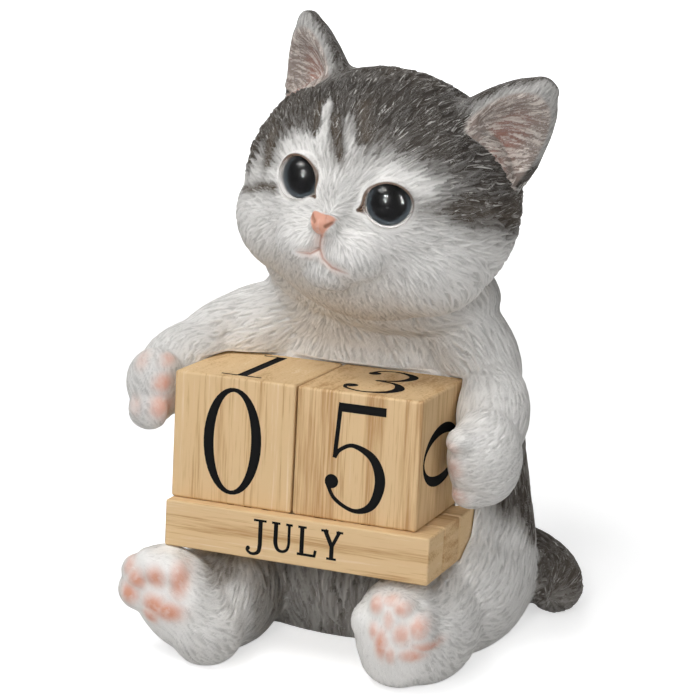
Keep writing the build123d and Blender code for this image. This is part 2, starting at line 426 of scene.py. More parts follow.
# ---- materials -----------------------------------------------------------------------------------------
class Nodes:
    """Builds a node tree in a few words."""

    def __init__(self, tree):
        self.tree = tree
        self.tree.nodes.clear()

    def node(self, kind, inputs=None, **settings):
        made = self.tree.nodes.new(kind)
        for name, value in settings.items():
            setattr(made, name, value)
        for name, value in (inputs or {}).items():
            self.put(value, made.inputs[name])
        return made

    def put(self, value, socket):
        if isinstance(value, bpy.types.NodeSocket):
            self.tree.links.new(value, socket)
        else:
            if socket.type == "RGBA" and len(value) == 3:
                value = (*value, 1)
            socket.default_value = value

    def math(self, operation, first, second=0.0, third=0.0, clamp=False):
        made = self.node("ShaderNodeMath", operation=operation, use_clamp=clamp)
        for number, value in enumerate((first, second, third)):
            self.put(value, made.inputs[number])
        return made.outputs[0]

    def times(self, first, second):
        return self.math("MULTIPLY", first, second)

    def plus(self, first, second):
        return self.math("ADD", first, second)

    def line(self, value, slope, start, clamp=False):
        """A value times a slope, from a start."""
        return self.math("MULTIPLY_ADD", value, slope, start, clamp)

    def vector(self, operation, first, second=(0, 0, 0)):
        made = self.node("ShaderNodeVectorMath", {0: first, 1: second}, operation=operation)
        return made.outputs["Value" if operation == "LENGTH" else "Vector"]

    def mask(self, name):
        return self.node("ShaderNodeAttribute", attribute_name=name).outputs["Fac"]

    def place(self):
        return self.node("ShaderNodeTexCoord").outputs["Object"]

    def in_frame(self, middle, turn, unit_length=1.0):
        """Object coordinates from a middle given in millimetres, turned, and in a unit given in metres."""
        inputs = {"Vector": self.place(), "Location": middle * MM, "Rotation": turn}
        inputs["Scale"] = (unit_length,) * 3
        return self.node("ShaderNodeMapping", inputs, vector_type="TEXTURE").outputs[0]

    def stretched(self, vector, scale, at):
        return self.node("ShaderNodeMapping", {"Vector": vector, "Scale": scale, "Location": at}).outputs[0]

    def smooth(self, value, low, high):
        """Rises from 0 at low to 1 at high."""
        inputs = {"Value": value, "From Min": low, "From Max": high}
        return self.node("ShaderNodeMapRange", inputs, interpolation_type="SMOOTHSTEP").outputs[0]

    def seen(self):
        """1 for rays that the camera, a mirror or glass looks along."""
        path = self.node("ShaderNodeLightPath").outputs
        first = self.math("MAXIMUM", path["Is Camera Ray"], path["Is Glossy Ray"])
        return self.math("MAXIMUM", first, path["Is Transmission Ray"])

    def noise(self, scale, vector=None, detail=3.0, roughness=0.5):
        inputs = {"Scale": scale, "Detail": detail, "Roughness": roughness}
        inputs["Vector"] = self.place() if vector is None else vector
        return self.node("ShaderNodeTexNoise", inputs).outputs["Fac"]

    def ramp(self, value, stops):
        made = self.node("ShaderNodeValToRGB", {"Fac": value})
        band = made.color_ramp
        while len(band.elements) < len(stops):
            band.elements.new(0.5)
        for element, (at, colour) in zip(band.elements, stops):
            element.position = at
            element.color = (*colour, 1)
        return made.outputs["Color"]

    def mix(self, share, first, second, blend="MIX"):
        made = self.node("ShaderNodeMix", data_type="RGBA", blend_type=blend)
        self.put(share, made.inputs[0])
        self.put(first, made.inputs[6])
        self.put(second, made.inputs[7])
        return made.outputs[2]


class Recipe(Nodes):
    """Builds one material."""

    def __init__(self, name):
        self.material = bpy.data.materials.new(name)
        self.material.use_nodes = True
        super().__init__(self.material.node_tree)
        self.shader = self.node("ShaderNodeBsdfPrincipled")
        self.node("ShaderNodeOutputMaterial", {"Surface": self.shader.outputs["BSDF"]})

    def set(self, **values):
        for name, value in values.items():
            self.put(value, self.shader.inputs[name.replace("_", " ")])

    def bump(self, height, distance, strength):
        made = self.node("ShaderNodeBump", {"Height": height, "Distance": distance, "Strength": strength})
        self.set(Normal=made.outputs[0])


def shade(*codes):
    """A colour written as on a screen, from 0 to 255, in the renderer's own scale."""
    values = [code / 255 for code in codes]
    return tuple(v / 12.92 if v <= 0.04045 else ((v + 0.055) / 1.055) ** 2.4 for v in values)


def dress(piece, *materials):
    piece.data.materials.clear()
    for material in materials:
        piece.data.materials.append(material)


def colour_property(name, description, codes):
    return FloatVectorProperty(
        name=name, description=description, subtype="COLOR", size=3, min=0, max=1, default=shade(*codes)
    )


# ---- what a user would change ----------------------------------------------------------------------------
class KittenPaint(bpy.types.PropertyGroup):
    charcoal: colour_property("Charcoal", "Darkest fur of the tabby coat", (29, 26, 24))
    smoke: colour_property("Smoke", "Tips of the dark fur", (186, 183, 178))
    white: colour_property("White", "White fur", (248, 246, 243))
    # the grooves between white locks take this colour: partly a grey wash, partly painted shade of the
    # grooves
    groove_wash_and_shade: colour_property("Recess", "Wash between white locks", (200, 198, 194))
    umber: colour_property("Umber", "Brown tint in the dark fur", (90, 79, 67))
    salmon: colour_property("Salmon", "Nose, pads and inner ears", (220, 156, 130))
    lid: colour_property("Lid", "Rim of the eyelids", (104, 84, 70))
    pupil: colour_property("Pupil", "Middle of the eyes", (3, 3, 4))
    iris: colour_property("Iris", "Ring round the pupil", (46, 52, 56))
    fur_voxel: FloatProperty(
        name="Finest detail", description="Size of a facet of the coat, in mm", default=0.31, min=0.2
    )


class KittenWood(bpy.types.PropertyGroup):
    pale: colour_property("Pale wood", "Palest streaks of the wood", (232, 208, 172))
    light: colour_property("Light wood", "Early wood", (216, 184, 138))
    dark: colour_property("Dark wood", "Late wood", (180, 138, 88))
    ink: colour_property("Ink", "Numerals and months", (12, 12, 13))


class KittenStage(bpy.types.PropertyGroup):
    lamps: FloatProperty(
        name="Lamps", description="Strength of all lamps together", default=1.0, min=0, subtype="FACTOR"
    )
    sky: FloatProperty(
        name="Room light", description="Strength of the even light from all round", default=0.22, min=0
    )


# ---- the head --------------------------------------------------------------------------------------------
EAR_OVALS = [(0.0, 1.0, 1.0), (0.3, 0.92, 0.86), (0.6, 0.72, 0.66), (0.82, 0.5, 0.48), (0.95, 0.26, 0.3)]
EAR_LENGTH, EAR_HALF_WIDTH, EAR_HALF_DEPTH = 24.5, 13.6, 7.0
EAR_LEANS, EAR_SCALES = {-1: 24.0, 1: 31.0}, {-1: 1.0, 1: 1.05}
EAR_HOLLOW = (9.6, 6.2, 13.5)


def ear_place(side):
    root = placed((side * 21.0, 2.0, 16.0), (0, side * EAR_LEANS[side], 0))
    return HEAD @ root @ placed((0, 0, 0), (0, 0, side * 32.0)) @ Matrix.Scale(EAR_SCALES[side], 4)


def ear(side):
    """A leaf with a round tip, hollowed from the front."""
    ovals = [(s * EAR_LENGTH, 0, w * EAR_HALF_WIDTH, d * EAR_HALF_DEPTH) for s, w, d in EAR_OVALS]
    place = ear_place(side)
    leaf = stack(ovals, place)
    tip = (0.3 * EAR_HALF_WIDTH, 0.32 * EAR_HALF_DEPTH, 2.6)
    cut(leaf, egg((0, 0, 0.93 * EAR_LENGTH), tip, place=place), "UNION")
    cut(leaf, egg((0, -0.95 * EAR_HALF_DEPTH, 0.36 * EAR_LENGTH), EAR_HOLLOW, (4, 0, 0), place))
    return leaf


def head_forms():
    return [
        egg((0, 0, 0), (35.0, 32.5, 31.5), place=HEAD),
        *pair_of_eggs((16.0, -8.0, -9.0), (17.4, 18.5, 15.5), place=HEAD),
        egg((0, -27.0, 2.5), (6.5, 8.0, 9.5), place=HEAD),
        egg((-0.8, -35.2, -2.2), (4.0, 3.4, 3.0), place=HEAD),
        *pair_of_eggs((5.6, -28.8, -9.0), (8.8, 7.8, 6.8), place=HEAD),
        egg((0, -26.6, -14.6), (7.6, 7.4, 5.6), place=HEAD),
        ear(-1),
        ear(1),
    ]


# the nose and mouth, as (x, z) in the head's frame on the front of the face
NOSE_MIDDLE, NOSE_TOP, NOSE_HEIGHT, NOSE_HALF_WIDTH = -0.8, 0.2, 6.2, 3.4
NOSTRILS = [((-3.3, -1.0), (-2.2, -1.9)), ((1.9, -1.5), (0.9, -2.3))]
MOUTH = [
    [(-1.2, -5.8), (-0.9, -9.0)],
    [(-0.9, -9.0), (-2.6, -10.6), (-5.8, -11.0)],
    [(-0.9, -9.0), (0.4, -11.0), (3.2, -12.4), (7.6, -12.5)],
]
PHILTRUM = (-0.9, -3.4), (-1.1, -5.8)
# half the width and height between the lids, and the line of the inner corner, outwards and up
EYE_OPENING = (5.8, 5.2)
CANTHUS_FROM, CANTHUS_TO = (-3.9, -1.2), (-6.6, -2.7)


def eye_opening(flat):
    """Distance from the rim of the lids, negative between them, at (outwards, up) from the eye's middle."""
    wide, tall = EYE_OPENING
    oval = (np.hypot(flat[:, 0] / wide, flat[:, 1] / tall) - 1) * tall
    distance, share = to_line(flat, CANTHUS_FROM, CANTHUS_TO)
    corner = distance - (1.7 * (1 - share) + 0.1 * share)
    blend = 0.9
    mixing = np.clip(0.5 + 0.5 * (corner - oval) / blend, 0, 1)
    return corner * (1 - mixing) + oval * mixing - blend * mixing * (1 - mixing)


def seen_from_eye(side, points):
    """Points in the frame of an eye, and their (outwards, up) in it."""
    local = into(eye_place(side), points)
    return local, np.column_stack((local[:, 0] * side, local[:, 1]))


def open_eyes(piece):
    """Sinks the skin between the lids behind the glass, and lifts the lids on to it."""
    points, _ = skin_of(piece)
    for side in SIDES:
        local, flat = seen_from_eye(side, points)
        near = np.flatnonzero((np.hypot(*flat.T) < 12) & (local[:, 2] > -3))
        flat, height = flat[near], local[near, 2]
        rim = eye_opening(flat)
        # points close to the rim are drawn on to it, so that it's a clean edge
        step = 1e-3
        slope = np.column_stack(
            [(eye_opening(flat + np.array(move)) - rim) / step for move in ((step, 0), (0, step))]
        )
        close = np.abs(rim) < 0.16
        flat[close] -= (unit(slope) * rim[:, None])[close]
        rim = eye_opening(flat)
        radius = np.hypot(*flat.T)
        dome = np.sqrt(np.maximum(EYE_R**2 - radius**2, 0))
        upper = smoothstep(flat[:, 1] / EYE_OPENING[1], -0.6, 0.6)
        lifted = np.maximum(dome + 0.28 + 0.16 * upper, height)
        thick = 0.3 * upper + 0.12
        outside = height + (lifted - height) * fade(rim, 0.7, 3.6)
        outside += thick * bell(rim - 0.55, 0.45) - thick * 0.5 * bell(rim - 1.7, 0.6)
        floor = np.where(radius < EYE_R - 0.6, 0.7, height - 1.3)
        inside = outside + (floor - outside) * smoothstep(-rim, 0.04, 0.5)
        moved = np.where(rim < 0, inside, outside)
        points[near] = out_of(eye_place(side), np.column_stack((flat[:, 0] * side, flat[:, 1], moved)))
    set_skin(piece, points)


def lids(points):
    """How much each point belongs to the lids' dark rim, and to the bare skin round it."""
    rims, bare = np.zeros(len(points)), np.zeros(len(points))
    for side in SIDES:
        local, flat = seen_from_eye(side, points)
        rim = eye_opening(flat)
        front = local[:, 2] > -1.5
        upper = smoothstep(flat[:, 1] / EYE_OPENING[1], -0.5, 0.9)
        corner = smoothstep(-flat[:, 0], 4.0, 6.0)
        width = 0.26 * upper + 0.25 * corner
        shown = 0.25 + 0.75 * np.maximum(upper, corner)
        rims = np.maximum(rims, shown * fade(rim, width, width + 0.35) * front)
        bare = np.maximum(bare, fade(rim, 0.9, 1.8) * front)
    return rims, bare


def nose_field(local):
    """1 on the leather of the nose, fading out at its edge; a heart that narrows to the philtrum."""
    x, z = local[:, 0] - NOSE_MIDDLE, local[:, 2]
    down = (NOSE_TOP - z + 0.10 * np.abs(x)) / NOSE_HEIGHT
    half = NOSE_HALF_WIDTH * np.clip(1 - down, 0, 1) ** 0.72 * np.clip(down / 0.16, 0, 1) ** 0.4 + 0.25
    beside = smoothstep(np.abs(x) - half, 0.35, -0.45)
    inside = smoothstep(down, -0.10, 0.04) * fade(down, 1.0, 1.12)
    return beside * inside * (local[:, 1] < -30)


def mouth_fade(flat):
    """1 in the middle of the mouth, fading out towards both of its corners."""
    return fade(flat[:, 0], 3.5, 9.5) * fade(-flat[:, 0], 3.2, 7.0)


def carve_face(piece):
    """Raises the nose's leather and cuts the nostrils, the philtrum and the line of the mouth."""
    points, normals = skin_of(piece)
    local = into(HEAD, points)
    flat = local[:, [0, 2]]
    front = local[:, 1] < -26
    depth = 0.45 * nose_field(local)
    for start, end in NOSTRILS:
        depth -= 0.55 * bell(to_line(flat, start, end)[0], 0.42) * front
    for path in MOUTH:
        distance = to_path(flat, path)
        groove = 0.4 * bell(distance, 0.34) + 0.4 * bell(distance, 1.6)
        depth -= groove * front * mouth_fade(flat)
    depth -= 0.25 * bell(to_line(flat, *PHILTRUM)[0], 0.35) * front
    set_skin(piece, points + normals * depth[:, None])


def finer_face(piece):
    """Halves the facets round the eyes, the nose and the mouth."""
    points, _ = skin_of(piece)
    spots = [(eye_place(side), (-0.6 * side, 0, 4.0), 9.0) for side in SIDES]
    spots.append((HEAD, (0.6, -36.0, -6.0), 10.0))
    wanted = np.zeros(len(points), bool)
    for place, middle, radius in spots:
        wanted |= np.linalg.norm(points - out_of(place, np.array([middle])), axis=1) < radius
    only(piece)
    piece.data.vertices.foreach_set("select", wanted)
    faces = piece.data.polygons
    corners = np.empty(len(piece.data.loops), np.int32)
    piece.data.loops.foreach_get("vertex_index", corners)
    starts = np.empty(len(faces), np.int32)
    faces.foreach_get("loop_start", starts)
    faces.foreach_set("select", np.logical_and.reduceat(wanted[corners], starts))
    edges = np.empty(len(piece.data.edges) * 2, np.int32)
    piece.data.edges.foreach_get("vertices", edges)
    piece.data.edges.foreach_set("select", wanted[edges.reshape(-1, 2)].all(axis=1))
    bpy.ops.object.mode_set(mode="EDIT")
    bpy.ops.mesh.select_mode(type="FACE")
    bpy.ops.mesh.subdivide(number_cuts=1)
    bpy.ops.object.mode_set(mode="OBJECT")


# sizes of a lock of fur on the head: x, y, z in the head's frame, then length, width and depth
HEAD_FUR = [
    (0, -34, 3, 2.4, 0.85, 0.16),
    (0, -30, 12, 4.0, 0.95, 0.24),
    (10, -32, -10, 2.6, 0.9, 0.14),
    (-10, -32, -10, 2.6, 0.9, 0.14),
    (0, -33, -15, 2.4, 0.9, 0.14),
    (20, -25, -8, 4.2, 1.1, 0.28),
    (-20, -25, -8, 4.2, 1.1, 0.28),
    (28, -14, -12, 6.0, 1.3, 0.45),
    (-28, -14, -12, 6.0, 1.3, 0.45),
    (18, -22, 16, 5.0, 1.1, 0.34),
    (-18, -22, 16, 4.2, 1.1, 0.32),
    (0, -15, 27, 5.5, 1.2, 0.42),
    (24, -8, 20, 7.0, 1.4, 0.85),
    (-30, -8, 6, 6.0, 1.4, 2.2),
    (34, 0, 4, 7.0, 1.5, 1.1),
    (0, 0, 32, 6.5, 1.4, 1.3),
    (0, 32, 0, 8.5, 1.6, 0.6),
    (25, 18, 0, 8.0, 1.5, 0.6),
    (-25, 18, 0, 8.0, 1.5, 0.6),
]


def ear_masks(points, normals):
    """How much each point is on an ear, in its hollow and on its back, and the lie of the fur there."""
    level = np.zeros(len(points))
    on_ear, hollow, back, upward = level, level, level, np.zeros((len(points), 3))
    for side in SIDES:
        place = ear_place(side)
        local = into(place, points)
        facing = turned_by(place.inverted(), normals)
        here = (np.abs(local[:, 0]) < 14.5) & (np.abs(local[:, 1]) < 9) & (local[:, 2] < 30)
        on_this = smoothstep(local[:, 2], 5.0, 11.0) * here
        scoop = (local - np.array([0, -6.65, 8.8])) / np.array(EAR_HOLLOW)
        within = fade(np.linalg.norm(scoop, axis=1), 1.02, 1.2)
        heart = (local - np.array([1.0, 0, 8.0])) / np.array([6.0, 40.0, 11.0])
        heart = fade(np.linalg.norm(heart, axis=1), 0.3, 1)
        inner = within * smoothstep(-facing[:, 1], 0.0, 0.4) * here * (local[:, 2] > -6)
        hollow = np.maximum(hollow, inner * (0.55 + 0.45 * heart))
        spread = np.column_stack((0.055 * local[:, 0], level, level + 1))
        outward = unit(np.column_stack((local[:, 0] + 8.0 * side, level, 0.6 * (local[:, 2] - 1.0))))
        inside = (within * here)[:, None]
        upward += turned_by(place, spread * (1 - inside) + 1.4 * outward * inside) * on_this[:, None]
        on_ear = np.maximum(on_ear, on_this)
        back = np.maximum(back, on_this * smoothstep(facing[:, 1] - 0.35 * side * facing[:, 0], -0.75, 0.0))
    return on_ear, hollow, back, upward


# markings over the even coat of the head: how dark, or below 0 how white, width, brown share, then a path
MARKINGS = [
    (0.8, 1.1, 0.5, (-14.6, -19.5, 22.0), (-12.5, -24.1, 17.8), (-11.4, -26.4, 15.2)),
    (-1.2, 1.35, 0.0, (-12.3, -20.5, 21.7), (-9.8, -25.8, 17.0), (-8.8, -28.6, 12.7)),
    (0.6, 1.3, 0.6, (-8.3, -23.9, 20.0), (-6.1, -26.5, 17.4), (-4.1, -28.4, 14.7), (-2.3, -30.0, 12.0)),
    (-0.4, 1.3, 0.0, (-4.4, -23.8, 21.1), (-2.4, -26.7, 17.7), (-0.4, -28.6, 14.8)),
    (0.45, 1.6, 0.6, (-3.1, -20.2, 24.5), (-0.9, -23.7, 21.5), (1.6, -26.5, 18.1)),
    (-0.9, 2.8, 0.0, (-12.7, -27.4, 12.4), (-16.7, -26.4, 10.8)),
    (0.75, 2.3, 0.8, (-24.5, -20.0, 11.0), (-23.0, -23.4, 7.0), (-22.4, -24.4, 4.6)),
    (-0.5, 1.2, 0.0, (-21.0, -25.6, 2.4), (-17.8, -27.4, 3.2)),
    (0.85, 1.7, 0.9, (-29.5, -17.5, -5.0), (-26.0, -21.9, -3.2), (-22.4, -25.0, -0.8), (-18.0, -27.9, 0.2)),
    (0.7, 5.0, 0.4, (-28.5, -14.0, 12.0), (-30.0, -14.0, 2.0)),
    (0.42, 3.0, 0.4, (18.6, -26.6, 5.6), (23.0, -23.2, 6.4), (27.5, -18.4, 6.0)),
    (0.4, 4.6, 0.4, (27.5, -18.4, 6.4), (33.0, -9.5, 5.2), (34.6, 3.0, 3.6)),
    (-0.45, 2.6, 0.0, (9.0, -28.6, 12.4), (14.0, -26.6, 12.6), (18.5, -24.6, 10.0)),
]


def head_coat(local):
    """How dark the tabby coat is, from 0 to 1, at points in the head's frame, and how brown it is."""
    x, y, z = local.T
    height = z + (0.45 - 0.13 * smoothstep(x, 6, 18)) * (y + 30) + 0.15 * np.maximum(np.abs(x) - 6, 0)
    coat = 0.9 * smoothstep(height, 4, 29) + 0.12 * smoothstep(height, -8, 6)
    low = smoothstep(z + 0.10 * y, -6.5, 1.0)
    coat *= low + (1 - low) * smoothstep(y, 6, 16)
    brown = 0.25 * (1 - coat)
    for dark, width, tint, *path in MARKINGS:
        mark = bell(to_path(local, path), width)
        coat += dark * mark
        brown = np.maximum(brown, tint * mark)
    return np.clip(coat, 0, 1), brown


def finish_coat(piece):
    """Cuts a finished form of the kitten in sections that stand for its casting."""
    in_metres(piece)
    for part in sections(piece):
        dress(part, coat_material())
        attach(part, "kitten")
        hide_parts("kitten_casting")


class CALENDAR_OT_head(bpy.types.Operator):
    """The kitten's head, with its face, ears and coat"""

    bl_idname = "calendar.head"
    bl_label = "Head"

    def execute(self, context):
        voxel = context.scene.kitten_paint.fur_voxel
        head = fused(head_forms(), "kitten_head", 14)
        refine(head, voxel)
        finer_face(head)
        open_eyes(head)
        carve_face(head)
        points, normals = skin_of(head)
        local = into(HEAD, points)
        rims, bare_lids = lids(points)
        nose = nose_field(local)
        on_ear, hollow, back, upward = ear_masks(points, normals)
        lie = unit(local - np.array([0, -38.0, 0.5]))
        lie[:, 2] -= 1.6 * smoothstep(local[:, 1], 4, 28) + 0.8 * smoothstep(-local[:, 2], 4, 18)
        lie = turned_by(HEAD, unit(lie)) * (1 - on_ear)[:, None] + upward
        flat = local[:, [0, 2]]
        size = blended(HEAD_FUR, local) * (1.45, 1.3, 0.85)
        ear_size = np.array([4.5, 0.85, 0.16])
        inside = hollow[:, None] * np.array([2.5, 0.15, 0.12])
        size = size * (1 - on_ear[:, None]) + (ear_size + inside) * on_ear[:, None]
        mouth = np.min([to_path(flat, path) for path in MOUTH], axis=0)
        front = local[:, 1] < -26
        lips = fade(mouth, 0.6, 1.4) * front
        bare = np.clip(np.maximum.reduce([bare_lids, nose, lips]), 0, 1)
        coat, brown = head_coat(local)
        coat = coat * (1 - on_ear) + (0.4 + 0.45 * back) * on_ear
        coat = coat * (1 - hollow) + 0.4 * hollow
        carve_coat(head, lie, size, seed=3, coat=coat, bare=bare)
        seam = fade(mouth, 0.0, 0.55) * front * mouth_fade(flat)
        pink = 0.22 * fade(mouth, 0.4, 2.4) * (local[:, 1] < -28) * mouth_fade(flat)
        slits = np.max([fade(to_line(flat, *ends)[0], 0.25, 0.7) for ends in NOSTRILS], axis=0)
        slits = 0.7 * slits * (local[:, 1] < -30) * nose
        keep_masks(
            head,
            skin=np.clip(np.maximum.reduce([0.92 * nose, hollow * 0.15, pink, 0.5 * seam]), 0, 1),
            line=np.clip(np.maximum(seam * 0.55, slits), 0, 1),
            lid=rims,
            brown=brown,
            hollow=hollow,
            warm=0.8 * smoothstep(-local[:, 2], 13, 25) * (local[:, 1] < 10),
        )
        finish_coat(head)
        return {"FINISHED"}


# ---- the body --------------------------------------------------------------------------------------------
TORSO_OVALS = [
    (-6.0, -1.0, 37.0, 24.0),
    (0.0, -1.0, 40.5, 26.5),
    (10.0, -1.0, 44.0, 30.0),
    (20.0, 0.0, 44.5, 30.0),
    (32.0, 2.0, 42.0, 28.5),
    (48.0, 5.0, 39.0, 24.0),
    (62.0, 7.0, 36.5, 19.5),
    (72.0, 7.5, 34.0, 17.5),
    (84.0, 5.0, 30.0, 18.0),
    (96.0, 0.0, 22.0, 17.0),
]
RIGHT_FOOT = placed((-31.0, -49.4, 14.0), (0, -42.0, 0))
TAIL_R, TAIL_UP, TAIL_BEND_AT, TAIL_BEND_R = 7.4, 7.7, (20.0, -2.0), 30.0
TAIL_TURNS = np.linspace(140.0, 18.0, 20)
CASTING_FOOT, FELT_THICK, PLUG_THICK = 0.3, 1.0, 4.0
FELT_AT, FELT_HALF, PLUG_AT, PLUG_R = (0, -1, 0), (30.2, 19.2), (0, 4, 0), 13.05


def around_tail(direction):
    turn = radians(direction)
    return TAIL_BEND_AT[0] + TAIL_BEND_R * cos(turn), TAIL_BEND_AT[1] + TAIL_BEND_R * sin(turn), TAIL_UP


def body_forms():
    """The forms of the torso, the legs with their paws and toes, the tail and the ruff."""
    tail = [egg(around_tail(turn), (TAIL_R,) * 3) for turn in TAIL_TURNS]
    return [
        stack(TORSO_OVALS),
        egg((2.0, 1.5, 88.0), (31.5, 20.0, 13.0), (0, 8, 0)),
        *tail,
        muscle((-20.0, 3.0, 75.6), (-40.5, -7.0, 68.6), 11.0, 7.0),
        muscle((-28.0, 1.0, 78.0), (-44.5, -15.0, 70.6), 6.8, 4.0),
        muscle((-41.5, -8.0, 67.6), (-45.5, -30.0, 66.4), 9.1, 6.0),
        egg((-44.4, -35.0, 65.6), (7.4, 7.8, 9.0), (8, 0, 0)),
        *[egg((-43.8, -41.4 + 4.0 * i, 61.0 - 0.7 * abs(i - 1.5)), (5.4, 2.7, 4.8)) for i in range(4)],
        muscle((21.0, 3.0, 80.0), (34.0, -4.5, 66.0), 10.4, 7.0),
        muscle((35.2, -6.0, 66.0), (38.6, -20.0, 55.5), 9.2, 6.0),
        egg((38.8, -25.0, 53.5), (9.2, 9.6, 12.2)),
        *[egg((35.6 + 0.4 * i, -31.0 + 0.7 * i, 59.6 - 4.9 * i), (4.6, 4.2, 3.4)) for i in range(4)],
        egg((-27.0, -8.0, 12.0), (17.5, 30.0, 18.5), (0, 0, 4)),
        egg((28.0, -8.0, 12.0), (17.5, 30.0, 18.5), (0, 0, -4)),
        egg((-27.0, -35.0, 11.0), (14.5, 20.0, 14.5), (0, 0, -6)),
        egg((27.0, -33.0, 11.0), (13.6, 20.0, 14.5), (0, 0, 4)),
        egg((24.6, -45.0, 13.6), (11.4, 10.5, 14.2)),
        egg((24.0, -44.5, 7.2), (9.6, 9.5, 8.0)),
        *[
            egg((24.6 + x, -50.2, z), (4.1, 4.4, 5.2))
            for x, z in ((-6.6, 17.6), (-2.4, 21.4), (2.6, 21.2), (6.8, 17.2))
        ],
        egg((0, -0.4, 1.0), (11.6, 8.8, 15.6), place=RIGHT_FOOT),
        egg((0.3, -0.3, -9.0), (9.4, 9.4, 9.0), place=RIGHT_FOOT),
        *[
            egg((x, -4.2, z), (4.2, 4.4, 5.2), place=RIGHT_FOOT)
            for x, z in ((-6.6, 9.6), (-2.4, 12.6), (2.5, 12.0), (6.2, 8.2))
        ],
    ]


# the clear ways of the bars and the cubes in the seat's frame: lowest and highest corner
BARS_WAY = [
    (BAR_SHIFT - BAR_LENGTH / 2 - SIDE_PLAY, BARS_BACK + SIDE_PLAY - REACH, LAP),
    (BAR_SHIFT + BAR_LENGTH / 2 + SIDE_PLAY, BARS_BACK + SIDE_PLAY, 0.01),
]
CUBES_WAY = [
    (-CUBE - CUBE_GAP / 2 - SIDE_PLAY, BARS_BACK + SIDE_PLAY - REACH, -0.01),
    (CUBE + CUBE_GAP / 2 + SIDE_PLAY, BARS_BACK + SIDE_PLAY, CUBE + 2 * SIDE_PLAY),
]


def near_ways(points, margin):
    """1 for points on the walls of the blocks' ways, within a margin of them."""
    local = into(SEAT, points)
    hits = [
        ((local > np.array(low) - margin) & (local < np.array(high) + margin)).all(axis=1)
        for low, high in (BARS_WAY, CUBES_WAY)
    ]
    return np.logical_or(*hits)


def keep_clear(points):
    """Pushes points out of the blocks' ways, and up to the casting's foot."""
    local = into(SEAT, points)
    for (low, high), floor in ((BARS_WAY, True), (CUBES_WAY, False)):
        inside = ((local > low) & (local < high)).all(axis=1)
        rooms = [local[:, 0] - low[0], high[0] - local[:, 0], high[1] - local[:, 1]]
        rooms.append(local[:, 2] - low[2] if floor else high[2] - local[:, 2])
        targets = ((0, low[0]), (0, high[0]), (1, high[1]), (2, low[2] if floor else high[2]))
        nearest = np.argmin(rooms, axis=0)
        for number, (axis, value) in enumerate(targets):
            chosen = inside & (nearest == number)
            local[chosen, axis] = value
    cleared = out_of(SEAT, local)
    cleared[:, 2] = np.maximum(cleared[:, 2], CASTING_FOOT)
    return cleared


